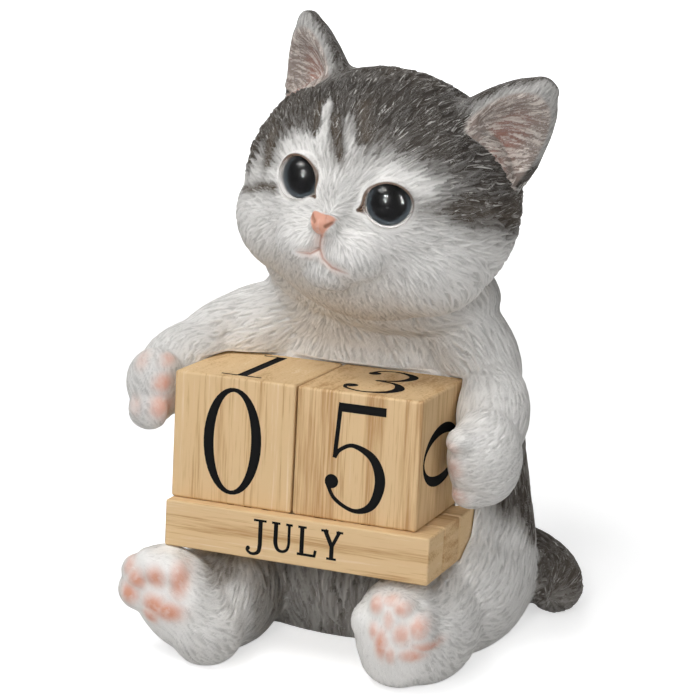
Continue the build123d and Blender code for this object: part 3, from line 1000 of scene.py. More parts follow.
# the lie of the coat on the body: x, y, z, then its direction, then a lock's length, width and depth
BODY_FUR = [
    (0, -20, 86, 0, -0.3, -1, 5.0, 1.25, 0.4),
    (15, -18, 84, 0.4, -0.3, -1, 5.0, 1.25, 0.42),
    (-15, -18, 84, -0.5, -0.3, -1, 5.0, 1.25, 0.42),
    (27, -10, 86, 1, -0.2, -0.35, 6.0, 1.3, 0.45),
    (-24, -10, 84, -1, -0.3, -0.4, 6.0, 1.3, 0.42),
    (8, -14, 76, 0.5, -0.3, -1, 5.0, 1.25, 0.4),
    (36, -8, 78, 0.8, -0.4, -0.9, 5.0, 1.2, 0.38),
    (45, -8, 66, 0.2, -0.3, -1, 4.5, 1.1, 0.3),
    (46, -16, 58, 0, -0.7, -0.8, 4.5, 1.1, 0.3),
    (44, -26, 50, -0.3, -1, -0.35, 4.5, 1.1, 0.28),
    (36, -34, 52, -1, -0.5, -0.3, 3.4, 0.95, 0.2),
    (-36, -8, 80, -1, -0.5, -0.25, 5.0, 1.2, 0.36),
    (-48, -12, 74, -0.6, -1, -0.4, 4.0, 1.1, 0.28),
    (-52, -26, 68, 0.1, -1, -0.3, 3.6, 1.0, 0.24),
    (-46, -42, 64, 0.5, -0.6, -0.7, 3.0, 0.9, 0.16),
    (42, 4, 52, 0.2, 0.3, -1, 7.5, 2.1, 0.7),
    (-42, 4, 52, -0.2, 0.3, -1, 7.5, 2.1, 0.7),
    (40, 0, 38, 0.1, -0.3, -1, 7.0, 2.0, 0.6),
    (-40, 0, 38, -0.1, -0.3, -1, 7.0, 2.0, 0.6),
    (45, -6, 22, 0, -0.8, -0.6, 6.5, 1.4, 0.4),
    (-45, -6, 22, 0, -0.8, -0.6, 6.5, 1.4, 0.4),
    (44, 8, 8, 0, -0.6, -0.6, 6.5, 1.4, 0.4),
    (-44, 8, 8, 0, -0.6, -0.6, 6.5, 1.4, 0.4),
    (36, -32, 20, 0.2, -1, -0.1, 5.5, 1.2, 0.32),
    (-36, -30, 22, -0.2, -1, -0.1, 5.5, 1.2, 0.32),
    (41, -34, 8, 0, -1, 0.1, 5.0, 1.1, 0.28),
    (-42, -36, 6, 0, -1, 0.2, 5.0, 1.1, 0.28),
    (24, -56, 18, 0, -0.1, 1, 2.6, 0.85, 0.12),
    (24, -52, 4, 0.0, -0.6, 0.7, 3.4, 0.95, 0.16),
    (13, -46, 14, -0.2, -0.8, 0.6, 3.6, 1.0, 0.2),
    (36, -46, 14, 0.2, -0.8, 0.6, 3.6, 1.0, 0.2),
    (-33, -58, 16, -0.7, -0.1, 0.7, 2.6, 0.85, 0.12),
    (-22, -54, 5, -0.4, -0.6, 0.6, 3.6, 1.0, 0.2),
    (-18, -44, 12, 0.3, -0.7, -0.4, 5.5, 1.2, 0.32),
    (-42, -46, 24, -0.6, -0.8, 0.4, 3.4, 1.0, 0.2),
    (2, -32, 22, 0, -0.2, -1, 9.0, 2.2, 0.8),
    (2, -30, 8, 0, -0.1, -1, 8.0, 2.1, 0.7),
    (-10, -34, 16, 0.3, -0.5, -1, 7.0, 1.7, 0.55),
    (14, -34, 16, -0.2, -0.4, -1, 7.0, 1.7, 0.55),
    (0, 22, 82, 0, 0.4, -1, 7.5, 1.6, 0.6),
    (0, 28, 50, 0, 0.1, -1, 8.5, 1.8, 0.65),
    (0, 31, 20, 0, 0.2, -1, 8.5, 1.8, 0.65),
    (32, 20, 40, 0.3, 0.2, -1, 8.0, 1.9, 0.65),
    (-32, 20, 40, -0.3, 0.2, -1, 8.0, 1.9, 0.65),
    (28, 12, 70, 0.5, 0.3, -1, 7.0, 1.6, 0.55),
    (-28, 12, 70, -0.5, 0.3, -1, 7.0, 1.6, 0.55),
]
# pads of the feet and the right paw: x, y, z, radius along x, radius along z, and how strong the pink is
PADS = [
    (-42.4, -57.5, 25.4, 1.5, 2.6, 0.6),
    (-39.9, -57.6, 22.2, 2.3, 2.3, 0.85),
    (-34.8, -56.9, 23.4, 2.4, 2.2, 0.85),
    (-28.9, -56.3, 23.0, 1.9, 3.8, 0.8),
    (-42.2, -58.0, 18.2, 2.2, 2.4, 0.9),
    (-35.0, -58.2, 16.0, 2.9, 2.6, 0.95),
    (-31.2, -58.3, 15.2, 3.4, 2.1, 0.95),
    (-36.3, -57.6, 13.2, 2.1, 1.9, 0.8),
    (25.2, -53.0, 25.0, 2.4, 1.1, 0.55),
    (21.6, -54.3, 24.0, 1.5, 1.8, 0.7),
    (28.1, -54.8, 23.8, 1.9, 1.5, 0.7),
    (25.0, -54.6, 20.7, 1.3, 2.2, 0.5),
    (28.4, -54.8, 17.6, 2.0, 2.3, 0.65),
    (32.3, -54.2, 19.5, 2.0, 2.3, 0.75),
    (21.4, -54.6, 17.4, 1.2, 1.9, 0.6),
    (23.4, -55.4, 14.6, 1.5, 3.2, 0.85),
    (25.6, -55.3, 12.2, 1.2, 2.0, 0.6),
    (30.8, -54.0, 12.2, 2.6, 1.5, 0.75),
    (33.9, -51.5, 14.6, 2.9, 1.4, 0.8),
    (-39.6, -37.6, 73.4, 1.7, 1.8, 0.75),
    (-39.8, -41.6, 67.8, 1.8, 2.1, 0.9),
    (-39.6, -42.6, 62.2, 2.4, 3.0, 0.75),
    (-45.6, -41.0, 73.0, 1.8, 2.2, 0.4),
    (-46.0, -42.6, 62.0, 1.6, 2.2, 0.4),
    (-37.6, -33.0, 78.6, 2.6, 1.8, 0.4),
    (33.4, -33.0, 58.6, 1.8, 1.3, 0.45),
    (33.6, -34.0, 53.0, 2.2, 2.6, 0.55),
    (34.4, -32.0, 45.6, 2.4, 1.8, 0.55),
]
PAD_DEPTH = 4.5


def pad_fields(points):
    """How pink each point is from the pads, and how much they swell there."""
    pink, swell = np.zeros(len(points)), np.zeros(len(points))
    for x, y, z, across, up, strength in PADS:
        squares = ((points - np.array([x, y, z])) / np.array([across, PAD_DEPTH, up])) ** 2
        spot = squares[:, 0] + squares[:, 2] + squares[:, 1]
        pink = np.maximum(pink, strength * np.exp(-0.75 * spot**1.2))
        swell = np.maximum(swell, np.exp(-0.8 * spot))
    return pink, swell


# dark spots on the flanks: x, y, z and size
FLANK_SPOTS = [(45, 5, 46, 10), (43, 2, 34, 8.5), (42.5, -6, 38, 8), (43.5, 3, 26, 5.5), (-45, 6, 44, 9)]


def body_coat(points):
    """How dark the tabby coat is on the body, how much each point is on the tail, and how brown it is."""
    x, y, z = points.T
    wave = 2.4 * np.sin(0.21 * z + 0.13 * x) + 1.5 * np.sin(0.5 * z - 0.2 * x)
    back = smoothstep(y + wave, 3, 15)
    bands = 0.72 + 0.28 * np.sin(0.52 * (z + 0.12 * np.abs(x) ** 1.15) + 1.2 * np.sin(0.11 * x))
    coat = back * bands
    thighs = smoothstep(np.abs(x), 14, 24) * fade(z, 22, 34) * fade(y, 8, 20)
    coat *= 1 - 0.9 * thighs
    belly = fade(np.abs(x - 2), 13, 24) * fade(z, 30, 40) * fade(y, -14, -4)
    coat = np.maximum(coat, 0.6 * belly * fade(-y, 42, 50))
    flank = smoothstep(np.abs(x), 28, 36) * smoothstep(z, 24, 32) * fade(z, 58, 66) * smoothstep(y, -16, -6)
    coat = np.maximum(coat, 0.5 * flank)
    for *spot, size in FLANK_SPOTS:
        coat = np.maximum(coat, blob(points, spot, (size,) * 3, edge=0.6))
    inner_thigh = blob(points, (-23, -46, 22.5), (5.5, 7, 4), edge=0.6)
    coat = np.maximum(coat, 0.6 * inner_thigh)
    coat = np.maximum(coat, 0.4 * smoothstep(y, -6, 6) * smoothstep(z, 50, 60))
    tail = np.zeros(len(points))
    for turn in TAIL_TURNS:
        tail = np.maximum(tail, fade(np.linalg.norm(points - around_tail(turn), axis=1), 8.0, 9.0))
    tail *= smoothstep(y + 0.4 * x, 14, 19)
    coat = np.maximum(coat, tail * (0.72 + 0.28 * smoothstep(z, 5, 14)))
    return np.clip(coat, 0, 1), tail, np.maximum(0.3, 0.9 * inner_thigh)


class CALENDAR_OT_body(bpy.types.Operator):
    """The kitten's body, legs and tail, with the coat and the pads"""

    bl_idname = "calendar.body"
    bl_label = "Body"

    def execute(self, context):
        voxel = context.scene.kitten_paint.fur_voxel + 0.07
        body = fused(body_forms(), "kitten_body", 10)
        for cutter in (
            box_form(*BARS_WAY, SEAT),
            box_form(*CUBES_WAY, SEAT),
            box_form((-90, -90, -40), (90, 90, CASTING_FOOT), HERE),
            disc_form(FELT_AT, 1, 2, (*FELT_HALF, FELT_THICK)),
            disc_form(PLUG_AT, PLUG_R, 2 * (FELT_THICK + PLUG_THICK + 1)),
        ):
            cut(body, cutter, solver="MANIFOLD")
        refine(body, voxel)
        points, normals = skin_of(body)
        pink, swell = pad_fields(points)
        walls = near_ways(points, 0.5) | (points[:, 2] < 0.9)
        set_skin(body, points + normals * (0.55 * swell * ~walls)[:, None])
        field = blended(BODY_FUR, points)
        lie, size = field[:, :3], field[:, 3:]
        coat, tail, brown = body_coat(points)
        turn = np.arctan2(points[:, 1] - TAIL_BEND_AT[1], points[:, 0] - TAIL_BEND_AT[0])
        along_tail = np.column_stack((np.sin(turn), -np.cos(turn), np.zeros(len(turn))))
        lie = unit(lie) * (1 - tail)[:, None] + along_tail * tail[:, None]
        size = (size * (1 - tail)[:, None] + np.array([6.0, 1.3, 0.45]) * tail[:, None]) * (1.2, 1.15, 1.25)
        soles = [blob(points, centre, (10, 7, 13), edge=0.25) for centre in ((24.6, -54, 14), (-35, -58, 19))]
        smooth = 0.7 * pink * (points[:, 0] < 32) + 0.2 * pink
        bare = np.maximum.reduce([walls, smooth, 0.85 * np.maximum(*soles)])
        carve_coat(body, lie, size, seed=8, coat=coat, bare=bare)
        points, _ = skin_of(body)
        set_skin(body, keep_clear(points))
        ruff = 0.8 * smoothstep(points[:, 2], 83, 95) * (points[:, 1] < 0)
        warm = np.maximum(ruff, 0.5 * (coat > 0.4))
        keep_masks(body, skin=np.clip(1.15 * pink, 0, 1), brown=brown, warm=warm)
        finish_coat(body)
        return {"FINISHED"}


# ---- numerals and letters ----------------------------------------------------------------------------------
# A glyph is a list of strokes and a stroke a list of (x, y, width); letters are one high, numerals in mm.
THICK, THIN, SERIF = 0.15, 0.10, 0.08


def arc(x, y, across, up, thick, thin, start=0, end=360):
    """A round stroke, thickest at its sides."""
    turns = np.radians(np.linspace(start, end, 5 + int(abs(end - start) // 10)))
    widths = thin + (thick - thin) * np.abs(np.cos(turns)) ** 1.4
    return np.column_stack((x + across * np.cos(turns), y + up * np.sin(turns), widths))


def ball(x, y, size):
    """The round end of a stroke."""
    turns = np.linspace(3.05, 0.09, 20)
    return np.column_stack((x + size / 2 * np.cos(turns), np.full(20, y), size * np.sin(turns)))


def line(x0, y0, x1, y1, width=THICK):
    return np.array([(x0, y0, width), (x1, y1, width)])


def foot_serif(x, half=0.15):
    return line(x - half, SERIF / 2, x + half, SERIF / 2, SERIF)


def top_serif(x, half=0.15):
    return line(x - half, 1 - SERIF / 2, x + half, 1 - SERIF / 2, SERIF)


def bend(*points):
    """A smooth stroke through its points."""
    path = np.array(points, float)
    padded = np.vstack((2 * path[0] - path[1], path, 2 * path[-1] - path[-2]))
    steps = np.linspace(0, 1, 9)[:-1, None]
    pieces = []
    for a, b, c, d in zip(padded[:-3], padded[1:-2], padded[2:-1], padded[3:]):
        square, cube = 2 * a - 5 * b + 4 * c - d, 3 * b - a - 3 * c + d
        pieces.append(0.5 * (2 * b + (c - a) * steps + square * steps**2 + cube * steps**3))
    return np.vstack((*pieces, path[-1:]))


def bowl(high, low, across, out, high_width, low_width):
    """The round of a letter, from its stem out to a point and back."""
    return bend(
        (0.15, high, high_width),
        (across, high, high_width),
        (*out, THICK),
        (across, low, low_width),
        (0.15, low, low_width),
    )


NUMERALS = {
    "0": [arc(0, 0, 6.35, 12.9, 2.7, 1.0)],
    "1": [
        line(0.4, -13.2, 0.4, 13.3, 2.6),
        line(-5.0, -12.8, 5.6, -12.8, 0.9),
        line(-4.6, 12.9, 0.4, 12.9, 0.9),
    ],
    "2": [
        bend((-6.4, 7.0, 1.0), (-5.2, 11.0, 1.1), (-0.6, 13.0, 1.1), (4.4, 10.8, 2.2),
             (5.8, 6.6, 2.7), (3.8, 1.2, 2.1), (-1.8, -5.4, 1.4), (-7.0, -12.4, 1.1)),
        ball(-5.2, 6.9, 3.4),
        line(-7.3, -12.1, 6.6, -12.1, 2.3),
        line(6.5, -12.4, 7.5, -7.4, 0.9),
    ],
    "3": [
        bend((-6.3, 8.6, 1.0), (-4.6, 11.8, 1.0), (-0.4, 13.0, 1.1), (4.0, 10.6, 2.1),
             (5.0, 7.0, 2.4), (2.6, 2.6, 1.5), (-2.2, 0.9, 0.9)),
        bend((-2.2, 0.9, 0.9), (3.6, -0.8, 1.5), (6.3, -6.0, 2.7), (4.6, -10.9, 2.1),
             (-0.6, -13.0, 1.1), (-5.4, -11.0, 1.0), (-6.8, -7.6, 1.0)),
        ball(-5.2, 8.5, 3.2),
        ball(-5.4, -7.6, 3.5),
    ],
    "4": [
        line(2.4, 13.2, -7.4, -5.8, 1.1),
        line(-7.9, -5.9, 7.6, -5.9, 1.3),
        line(3.0, 13.3, 3.0, -13.2, 2.6),
        line(-1.6, -12.8, 7.4, -12.8, 0.9),
    ],
    "5": [
        line(-4.9, 12.2, 7.0, 12.2, 2.2),
        line(-4.6, 13.3, -5.6, -0.4, 1.1),
        bend((-5.7, -0.3, 1.0), (-4.2, 1.8, 1.0), (-0.8, 3.1, 1.1), (4.2, 0.6, 2.1), (6.3, -4.8, 2.7),
             (4.6, -10.8, 2.1), (0.2, -12.9, 1.1), (-5.0, -10.6, 1.0), (-7.4, -6.6, 1.0)),
        ball(-6.1, -6.3, 3.5),
    ],
    "6": [
        bend((6.3, 9.3, 1.0), (5.0, 11.8, 1.0), (1.8, 13.0, 1.1), (-4.2, 8.2, 2.3), (-6.3, -1.6, 2.7),
             (-4.6, -10.4, 2.2), (0.0, -12.9, 1.1)),
        arc(0.0, -4.9, 6.1, 8.0, 2.5, 1.0),
        ball(5.2, 9.2, 3.2),
    ],
    "7": [
        line(-7.3, 12.1, 7.5, 12.1, 2.3),
        line(-7.0, 13.0, -7.3, 7.6, 0.9),
        bend((7.0, 11.6, 1.0), (2.2, 3.6, 1.6), (-0.8, -5.2, 2.5), (-1.6, -13.2, 3.0)),
    ],
    "8": [arc(0.0, 7.0, 4.9, 5.9, 2.4, 1.0), arc(0.0, -6.0, 6.2, 6.9, 2.7, 1.0)],
}
# strokes that several letters share
STEM = line(0.17, 0, 0.17, 1)
SHORT_TOP = line(0.02, 0.96, 0.3, 0.96, SERIF)
SHORT_FOOT = line(0.02, 0.04, 0.3, 0.04, SERIF)
LEFT_TOP = line(0.02, 0.96, 0.2, 0.96, SERIF)
BEAK = line(0.65, 1.0, 0.65, 0.7, SERIF)
TOP_OF_P = [STEM, SHORT_TOP, foot_serif(0.17), bowl(0.955, 0.47, 0.42, (0.62, 0.72), 0.09, 0.08)]
SPINE_OF_E = [
    STEM,
    line(0.02, 0.96, 0.62, 0.96, SERIF),
    line(0.61, 0.98, 0.61, 0.74, SERIF),
    line(0.17, 0.5, 0.46, 0.5, SERIF),
    line(0.46, 0.61, 0.46, 0.39, SERIF),
]
LETTERS = {
    "A": (0.86, [
        line(0.13, 0, 0.42, 1, 0.09), line(0.73, 0, 0.44, 1), line(0.22, 0.33, 0.66, 0.33, SERIF),
        foot_serif(0.12, 0.12), foot_serif(0.74, 0.13),
    ]),
    "B": (0.70, [
        STEM, SHORT_TOP, SHORT_FOOT, bowl(0.955, 0.53, 0.40, (0.57, 0.75), 0.09, 0.08),
        bowl(0.53, 0.045, 0.42, (0.61, 0.28), 0.08, 0.09),
    ]),
    "C": (0.74, [arc(0.40, 0.5, 0.33, 0.455, THICK, 0.09, 46, 314), BEAK]),
    "D": (0.78, [
        STEM, SHORT_TOP, SHORT_FOOT,
        bend((0.15, 0.955, 0.09), (0.40, 0.95, 0.09), (0.62, 0.78, 0.12), (0.68, 0.5, THICK),
             (0.62, 0.22, 0.12), (0.40, 0.05, 0.09), (0.15, 0.045, 0.09)),
    ]),
    "E": (0.70, [*SPINE_OF_E, line(0.02, 0.04, 0.65, 0.04, SERIF), line(0.64, 0.02, 0.64, 0.28, SERIF)]),
    "F": (0.66, [*SPINE_OF_E, foot_serif(0.17)]),
    "G": (0.82, [
        arc(0.40, 0.5, 0.33, 0.455, THICK, 0.09, 46, 318), BEAK,
        line(0.66, 0.42, 0.66, 0.06, 0.13), line(0.5, 0.42, 0.78, 0.42, SERIF),
    ]),
    "H": (0.84, [
        STEM, line(0.67, 0, 0.67, 1), line(0.17, 0.5, 0.67, 0.5, SERIF),
        foot_serif(0.17), top_serif(0.17), foot_serif(0.67), top_serif(0.67),
    ]),
    "I": (0.36, [line(0.18, 0, 0.18, 1), foot_serif(0.18), top_serif(0.18)]),
    "J": (0.76, [
        line(0.52, 1, 0.52, 0.12), top_serif(0.50, 0.23), ball(0.10, -0.02, 0.15),
        bend((0.52, 0.14, THICK), (0.48, -0.08, 0.14), (0.36, -0.18, 0.11),
             (0.20, -0.19, 0.10), (0.07, -0.10, 0.09), (0.05, -0.02, 0.06)),
    ]),
    "L": (0.73, [
        line(0.20, 0, 0.20, 1), top_serif(0.20), line(0.04, 0.045, 0.68, 0.045, 0.09),
        line(0.65, 0.02, 0.69, 0.24, 0.1),
    ]),
    "M": (0.98, [
        line(0.15, 0, 0.15, 1, THIN), line(0.83, 0, 0.83, 1), line(0.15, 1, 0.47, 0.04),
        line(0.49, 0.04, 0.83, 1, THIN), foot_serif(0.15, 0.12), foot_serif(0.83), LEFT_TOP,
        line(0.8, 0.96, 0.98, 0.96, SERIF),
    ]),
    "N": (0.84, [
        line(0.15, 0, 0.15, 1, THIN), line(0.70, 0, 0.70, 1, THIN), line(0.15, 1, 0.70, 0),
        foot_serif(0.15, 0.13), LEFT_TOP, top_serif(0.70, 0.13),
    ]),
    "O": (0.80, [arc(0.40, 0.5, 0.32, 0.46, THICK, 0.09)]),
    "P": (0.68, TOP_OF_P),
    "R": (0.78, [*TOP_OF_P, line(0.38, 0.49, 0.64, 0.03), line(0.58, 0.04, 0.78, 0.04, SERIF)]),
    "S": (0.66, [
        bend((0.57, 0.82, 0.09), (0.35, 0.955, 0.09), (0.13, 0.78, 0.14), (0.33, 0.54, THICK),
             (0.54, 0.27, THICK), (0.33, 0.045, 0.09), (0.09, 0.19, 0.09)),
        line(0.56, 0.7, 0.56, 1.0, SERIF), line(0.10, 0.0, 0.10, 0.32, SERIF),
    ]),
    "T": (0.74, [
        line(0.37, 0, 0.37, 1), line(0.03, 0.96, 0.71, 0.96, SERIF), line(0.06, 0.98, 0.06, 0.74, SERIF),
        line(0.68, 0.98, 0.68, 0.74, SERIF), foot_serif(0.37, 0.17),
    ]),
    "U": (0.76, [
        bend((0.17, 1, THICK), (0.17, 0.6, THICK), (0.17, 0.3, THICK), (0.25, 0.09, 0.12), (0.41, 0.03, 0.1),
             (0.57, 0.10, 0.1), (0.64, 0.3, THIN), (0.64, 0.6, THIN), (0.64, 1, THIN)),
        top_serif(0.17), top_serif(0.64, 0.12),
    ]),
    "V": (0.80, [
        line(0.12, 1, 0.40, 0.02), line(0.68, 1, 0.42, 0.02, THIN),
        top_serif(0.12, 0.14), top_serif(0.69, 0.12),
    ]),
    "Y": (0.76, [
        line(0.12, 1, 0.38, 0.45), line(0.64, 1, 0.38, 0.45, 0.12), line(0.38, 0.5, 0.38, 0),
        top_serif(0.12, 0.13), top_serif(0.64, 0.12), foot_serif(0.38, 0.17),
    ]),
}
CAP_HEIGHT, LETTER_GAP, ENGRAVED, ABOVE_FACE = 7.4, 0.14, 0.22, 0.4


def word(text, raised):
    """The strokes of a word in mm, centred, and then raised a little."""
    strokes, at = [], 0.0
    for letter in text:
        width, lines = LETTERS[letter]
        strokes += [stroke + np.array([at, 0, 0]) for stroke in lines]
        at += width + LETTER_GAP
    middle = np.array([(at - LETTER_GAP) / 2, 0.47, 0])
    return [(stroke - middle) * CAP_HEIGHT + (0, raised, 0) for stroke in strokes]


def prisms(strokes, place):
    """Solid strokes from just above a face to the engraving's floor; local Z points out of the face."""
    points, faces = [], []
    for stroke in strokes:
        path, widths = stroke[:, :2], stroke[:, 2:]
        closed = np.allclose(path[0], path[-1])
        if closed:
            path, widths = path[:-1], widths[:-1]
        around = np.roll(path, -1, axis=0) - np.roll(path, 1, axis=0)
        along = unit(around if closed else np.gradient(path, axis=0))
        across = np.column_stack((-along[:, 1], along[:, 0])) * widths / 2
        count, start = len(path), len(points)
        for height in (ABOVE_FACE, -ENGRAVED):
            for edge in (path + across, path - across):
                points += [(*point, height) for point in edge]
        for i in range(count if closed else count - 1):
            j = (i + 1) % count
            a, b, c, d = (start + row * count for row in range(4))
            faces += [(a + i, b + i, b + j, a + j), (c + i, c + j, d + j, d + i)]
            faces += [(a + i, a + j, c + j, c + i), (b + i, d + i, d + j, b + j)]
        if not closed:
            faces.append((start, start + 2 * count, start + 3 * count, start + count))
            last = start + count - 1
            faces.append((last, last + count, last + 3 * count, last + 2 * count))
    mesh = bpy.data.meshes.new("strokes")
    mesh.from_pydata(points, [], faces)
    mesh.transform(place)
    thing = bpy.data.objects.new("strokes", mesh)
    bpy.context.collection.objects.link(thing)
    only(thing)
    bpy.ops.object.mode_set(mode="EDIT")
    bpy.ops.mesh.select_all(action="SELECT")
    bpy.ops.mesh.normals_make_consistent(inside=False)
    bpy.ops.object.mode_set(mode="OBJECT")
    return thing


# ---- wooden blocks ---------------------------------------------------------------------------------------
FRONT, BACK, LEFT, RIGHT = Vector((0, -1, 0)), Vector((0, 1, 0)), Vector((1, 0, 0)), Vector((-1, 0, 0))
TOP, BOTTOM = Vector((0, 0, 1)), Vector((0, 0, -1))
# the faces of each cube: the numeral, the way the face looks, and the way the numeral's top points
CUBE_FACES = {
    "day_cube_tens": [
        ("0", FRONT, TOP), ("1", TOP, BACK), ("2", RIGHT, TOP),
        ("6", LEFT, BACK), ("7", BACK, TOP), ("8", BOTTOM, BACK),
    ],
    "day_cube_units": [
        ("5", FRONT, TOP), ("3", TOP, BACK), ("0", LEFT, BACK),
        ("1", RIGHT, TOP), ("2", BACK, TOP), ("4", BOTTOM, BACK),
    ],
}
BAR_SIDES = [(FRONT, TOP), (TOP, BACK), (BACK, BOTTOM), (BOTTOM, FRONT)]
BAR_MONTHS = {
    "month_bar_front": ("JULY", "AUGUST", "MAY", "JUNE"),
    "month_bar_middle": ("JANUARY", "FEBRUARY", "MARCH", "APRIL"),
    "month_bar_rear": ("SEPTEMBER", "OCTOBER", "NOVEMBER", "DECEMBER"),
}
# each block's body, the slice of wood that it's cut from, and how much lighter that slice is
BLOCKS = {
    "day_cube_tens": ("tens_cube", 1, 0.0),
    "day_cube_units": ("units_cube", 2, -0.05),
    "month_bar_front": ("front_bar", 4, 0.0),
    "month_bar_middle": ("middle_bar", 5, -0.045),
    "month_bar_rear": ("rear_bar", 6, 0.015),
}
SLICE_STEP = 137.0


def face_place(middle, half, out, up):
    right = up.cross(out)
    turn = Matrix((right, up, out)).transposed().to_4x4()
    return SEAT @ Matrix.Translation(Vector(middle) + out * half) @ turn


def wooden_block(node, low, size, rounding, engravings, materials):
    """A block of wood with rounded edges and inked engravings, in place of the frame's plain block."""
    only()
    bpy.ops.mesh.primitive_cube_add(size=1)
    block = new_piece("engraved_" + node)
    block.data.transform(Matrix.Diagonal((*size, 1)))
    bpy.ops.object.mode_set(mode="EDIT")
    bpy.ops.mesh.select_all(action="SELECT")
    bpy.ops.mesh.bevel(offset=rounding, segments=4, affect="EDGES")
    bpy.ops.object.mode_set(mode="OBJECT")
    middle = Vector(low) + Vector(size) / 2
    block.data.transform(SEAT @ Matrix.Translation(middle))
    dress(block, *materials)
    cutters = []
    for strokes, out, up in engravings:
        half = max(abs(part * length) for part, length in zip(out, size)) / 2
        cutters.append(prisms(strokes, face_place(middle, half, out, up)))
    only(*cutters)
    bpy.ops.object.join()
    cutter = bpy.context.object
    dress(cutter, materials[1])
    cut(block, cutter, use_self=True, material_mode="TRANSFER")
    only(block)
    bpy.ops.object.shade_smooth_by_angle(angle=radians(35))
    apply_modifier(block, "WEIGHTED_NORMAL", keep_sharp=True)
    block.data.transform(Matrix.Scale(MM, 4))
    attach(block, BLOCKS[node][0])
    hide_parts(node)
    return block


def wood_material(node, fibres_along_x):
    """Pale hardwood: growth layers stand across the block, fine fibres and pores run along it."""
    wood = bpy.context.scene.kitten_wood
    _, number, lighter = BLOCKS[node]
    recipe = Recipe("wood_" + node)
    seat = recipe.in_frame(SEAT.to_translation() + Vector((0, 0, SLICE_STEP * number)), SEAT.to_euler())
    # a small scale lengthens the pattern along that axis, a large one packs it
    layer_scale = (0.16, 0.9, 4.5) if fibres_along_x else (4.5, 0.9, 0.16)
    fibre_scale = (0.35, 12, 12) if fibres_along_x else (12, 8, 0.35)
    bands = recipe.stretched(seat, layer_scale, (number * 3.1, number * 1.7, number * 2.3))
    broad = recipe.noise(38, bands, detail=3.0, roughness=0.6)
    layers = recipe.noise(110, bands, detail=2.0, roughness=0.5)
    threads = recipe.stretched(seat, fibre_scale, (number * 1.3, number, 0))
    fibres = recipe.noise(160, threads, detail=4.0, roughness=0.65)
    tone = recipe.plus(recipe.times(broad, 0.36), recipe.times(layers, 0.26))
    tone = recipe.plus(recipe.plus(tone, recipe.times(fibres, 0.38)), lighter)
    colour = recipe.ramp(tone, [(0.36, wood.dark), (0.48, wood.light), (0.56, wood.light), (0.66, wood.pale)])
    pores = recipe.ramp(fibres, [(0.32, (1, 1, 1)), (0.41, (0, 0, 0))])
    colour = recipe.mix(recipe.times(pores, 0.5), colour, wood.dark)
    recipe.set(Base_Color=colour, Roughness=0.68, Specular_IOR_Level=0.15)
    recipe.bump(fibres, 0.0001, 0.7)
    return recipe.material


def ink_material():
    if "ink" in bpy.data.materials:
        return bpy.data.materials["ink"]
    recipe = Recipe("ink")
    recipe.set(Base_Color=bpy.context.scene.kitten_wood.ink, Roughness=0.7, Specular_IOR_Level=0.03)
    recipe.bump(recipe.noise(900), 0.00005, 0.4)
    return recipe.material


class CALENDAR_OT_cubes(bpy.types.Operator):
    """The two day cubes with their engraved numerals"""

    bl_idname = "calendar.cubes"
    bl_label = "Day Cubes"

    def execute(self, context):
        for number, (node, faces) in enumerate(CUBE_FACES.items()):
            low = ((-CUBE - CUBE_GAP / 2, CUBE_GAP / 2)[number], 0, 0)
            engravings = [(NUMERALS[digit], out, up) for digit, out, up in faces]
            materials = (wood_material(node, fibres_along_x=False), ink_material())
            block = wooden_block(node, low, (CUBE,) * 3, CUBE_ROUND, engravings, materials)
        return {"FINISHED"}


class CALENDAR_OT_bars(bpy.types.Operator):
    """The three month bars with their engraved names"""

    bl_idname = "calendar.bars"
    bl_label = "Month Bars"

    def execute(self, context):
        size = (BAR_LENGTH, BAR - 2 * BAR_INSET, BAR)
        for row, (node, months) in enumerate(BAR_MONTHS.items()):
            low = (BAR_SHIFT - BAR_LENGTH / 2, row * (BAR + BAR_GAP) - BAR_OVERHANG + BAR_INSET, LAP + SLIP)
            words = [word(month, 1.5 if out is TOP else 0.4) for month, (out, _) in zip(months, BAR_SIDES)]
            engravings = [(strokes, out, up) for strokes, (out, up) in zip(words, BAR_SIDES)]
            materials = (wood_material(node, fibres_along_x=True), ink_material())
            block = wooden_block(node, low, size, BAR_ROUND, engravings, materials)
        return {"FINISHED"}


# ---- eyes and base ---------------------------------------------------------------------------------------
PUPIL_R, IRIS_R, PUPIL_UP = 3.95, 5.1, 0.35
DISC_R, DISC_THICK, DISC_SUNK = 6.0, 0.8, 0.1
# the glass of the eyes: its index is lower than that of real glass, and its gloss comes from the coat over it
GLASS_INDEX, GLASS_ROUGHNESS, GLOSS, GLOSS_ROUGHNESS = 1.09, 0.28, 0.24, 0.004


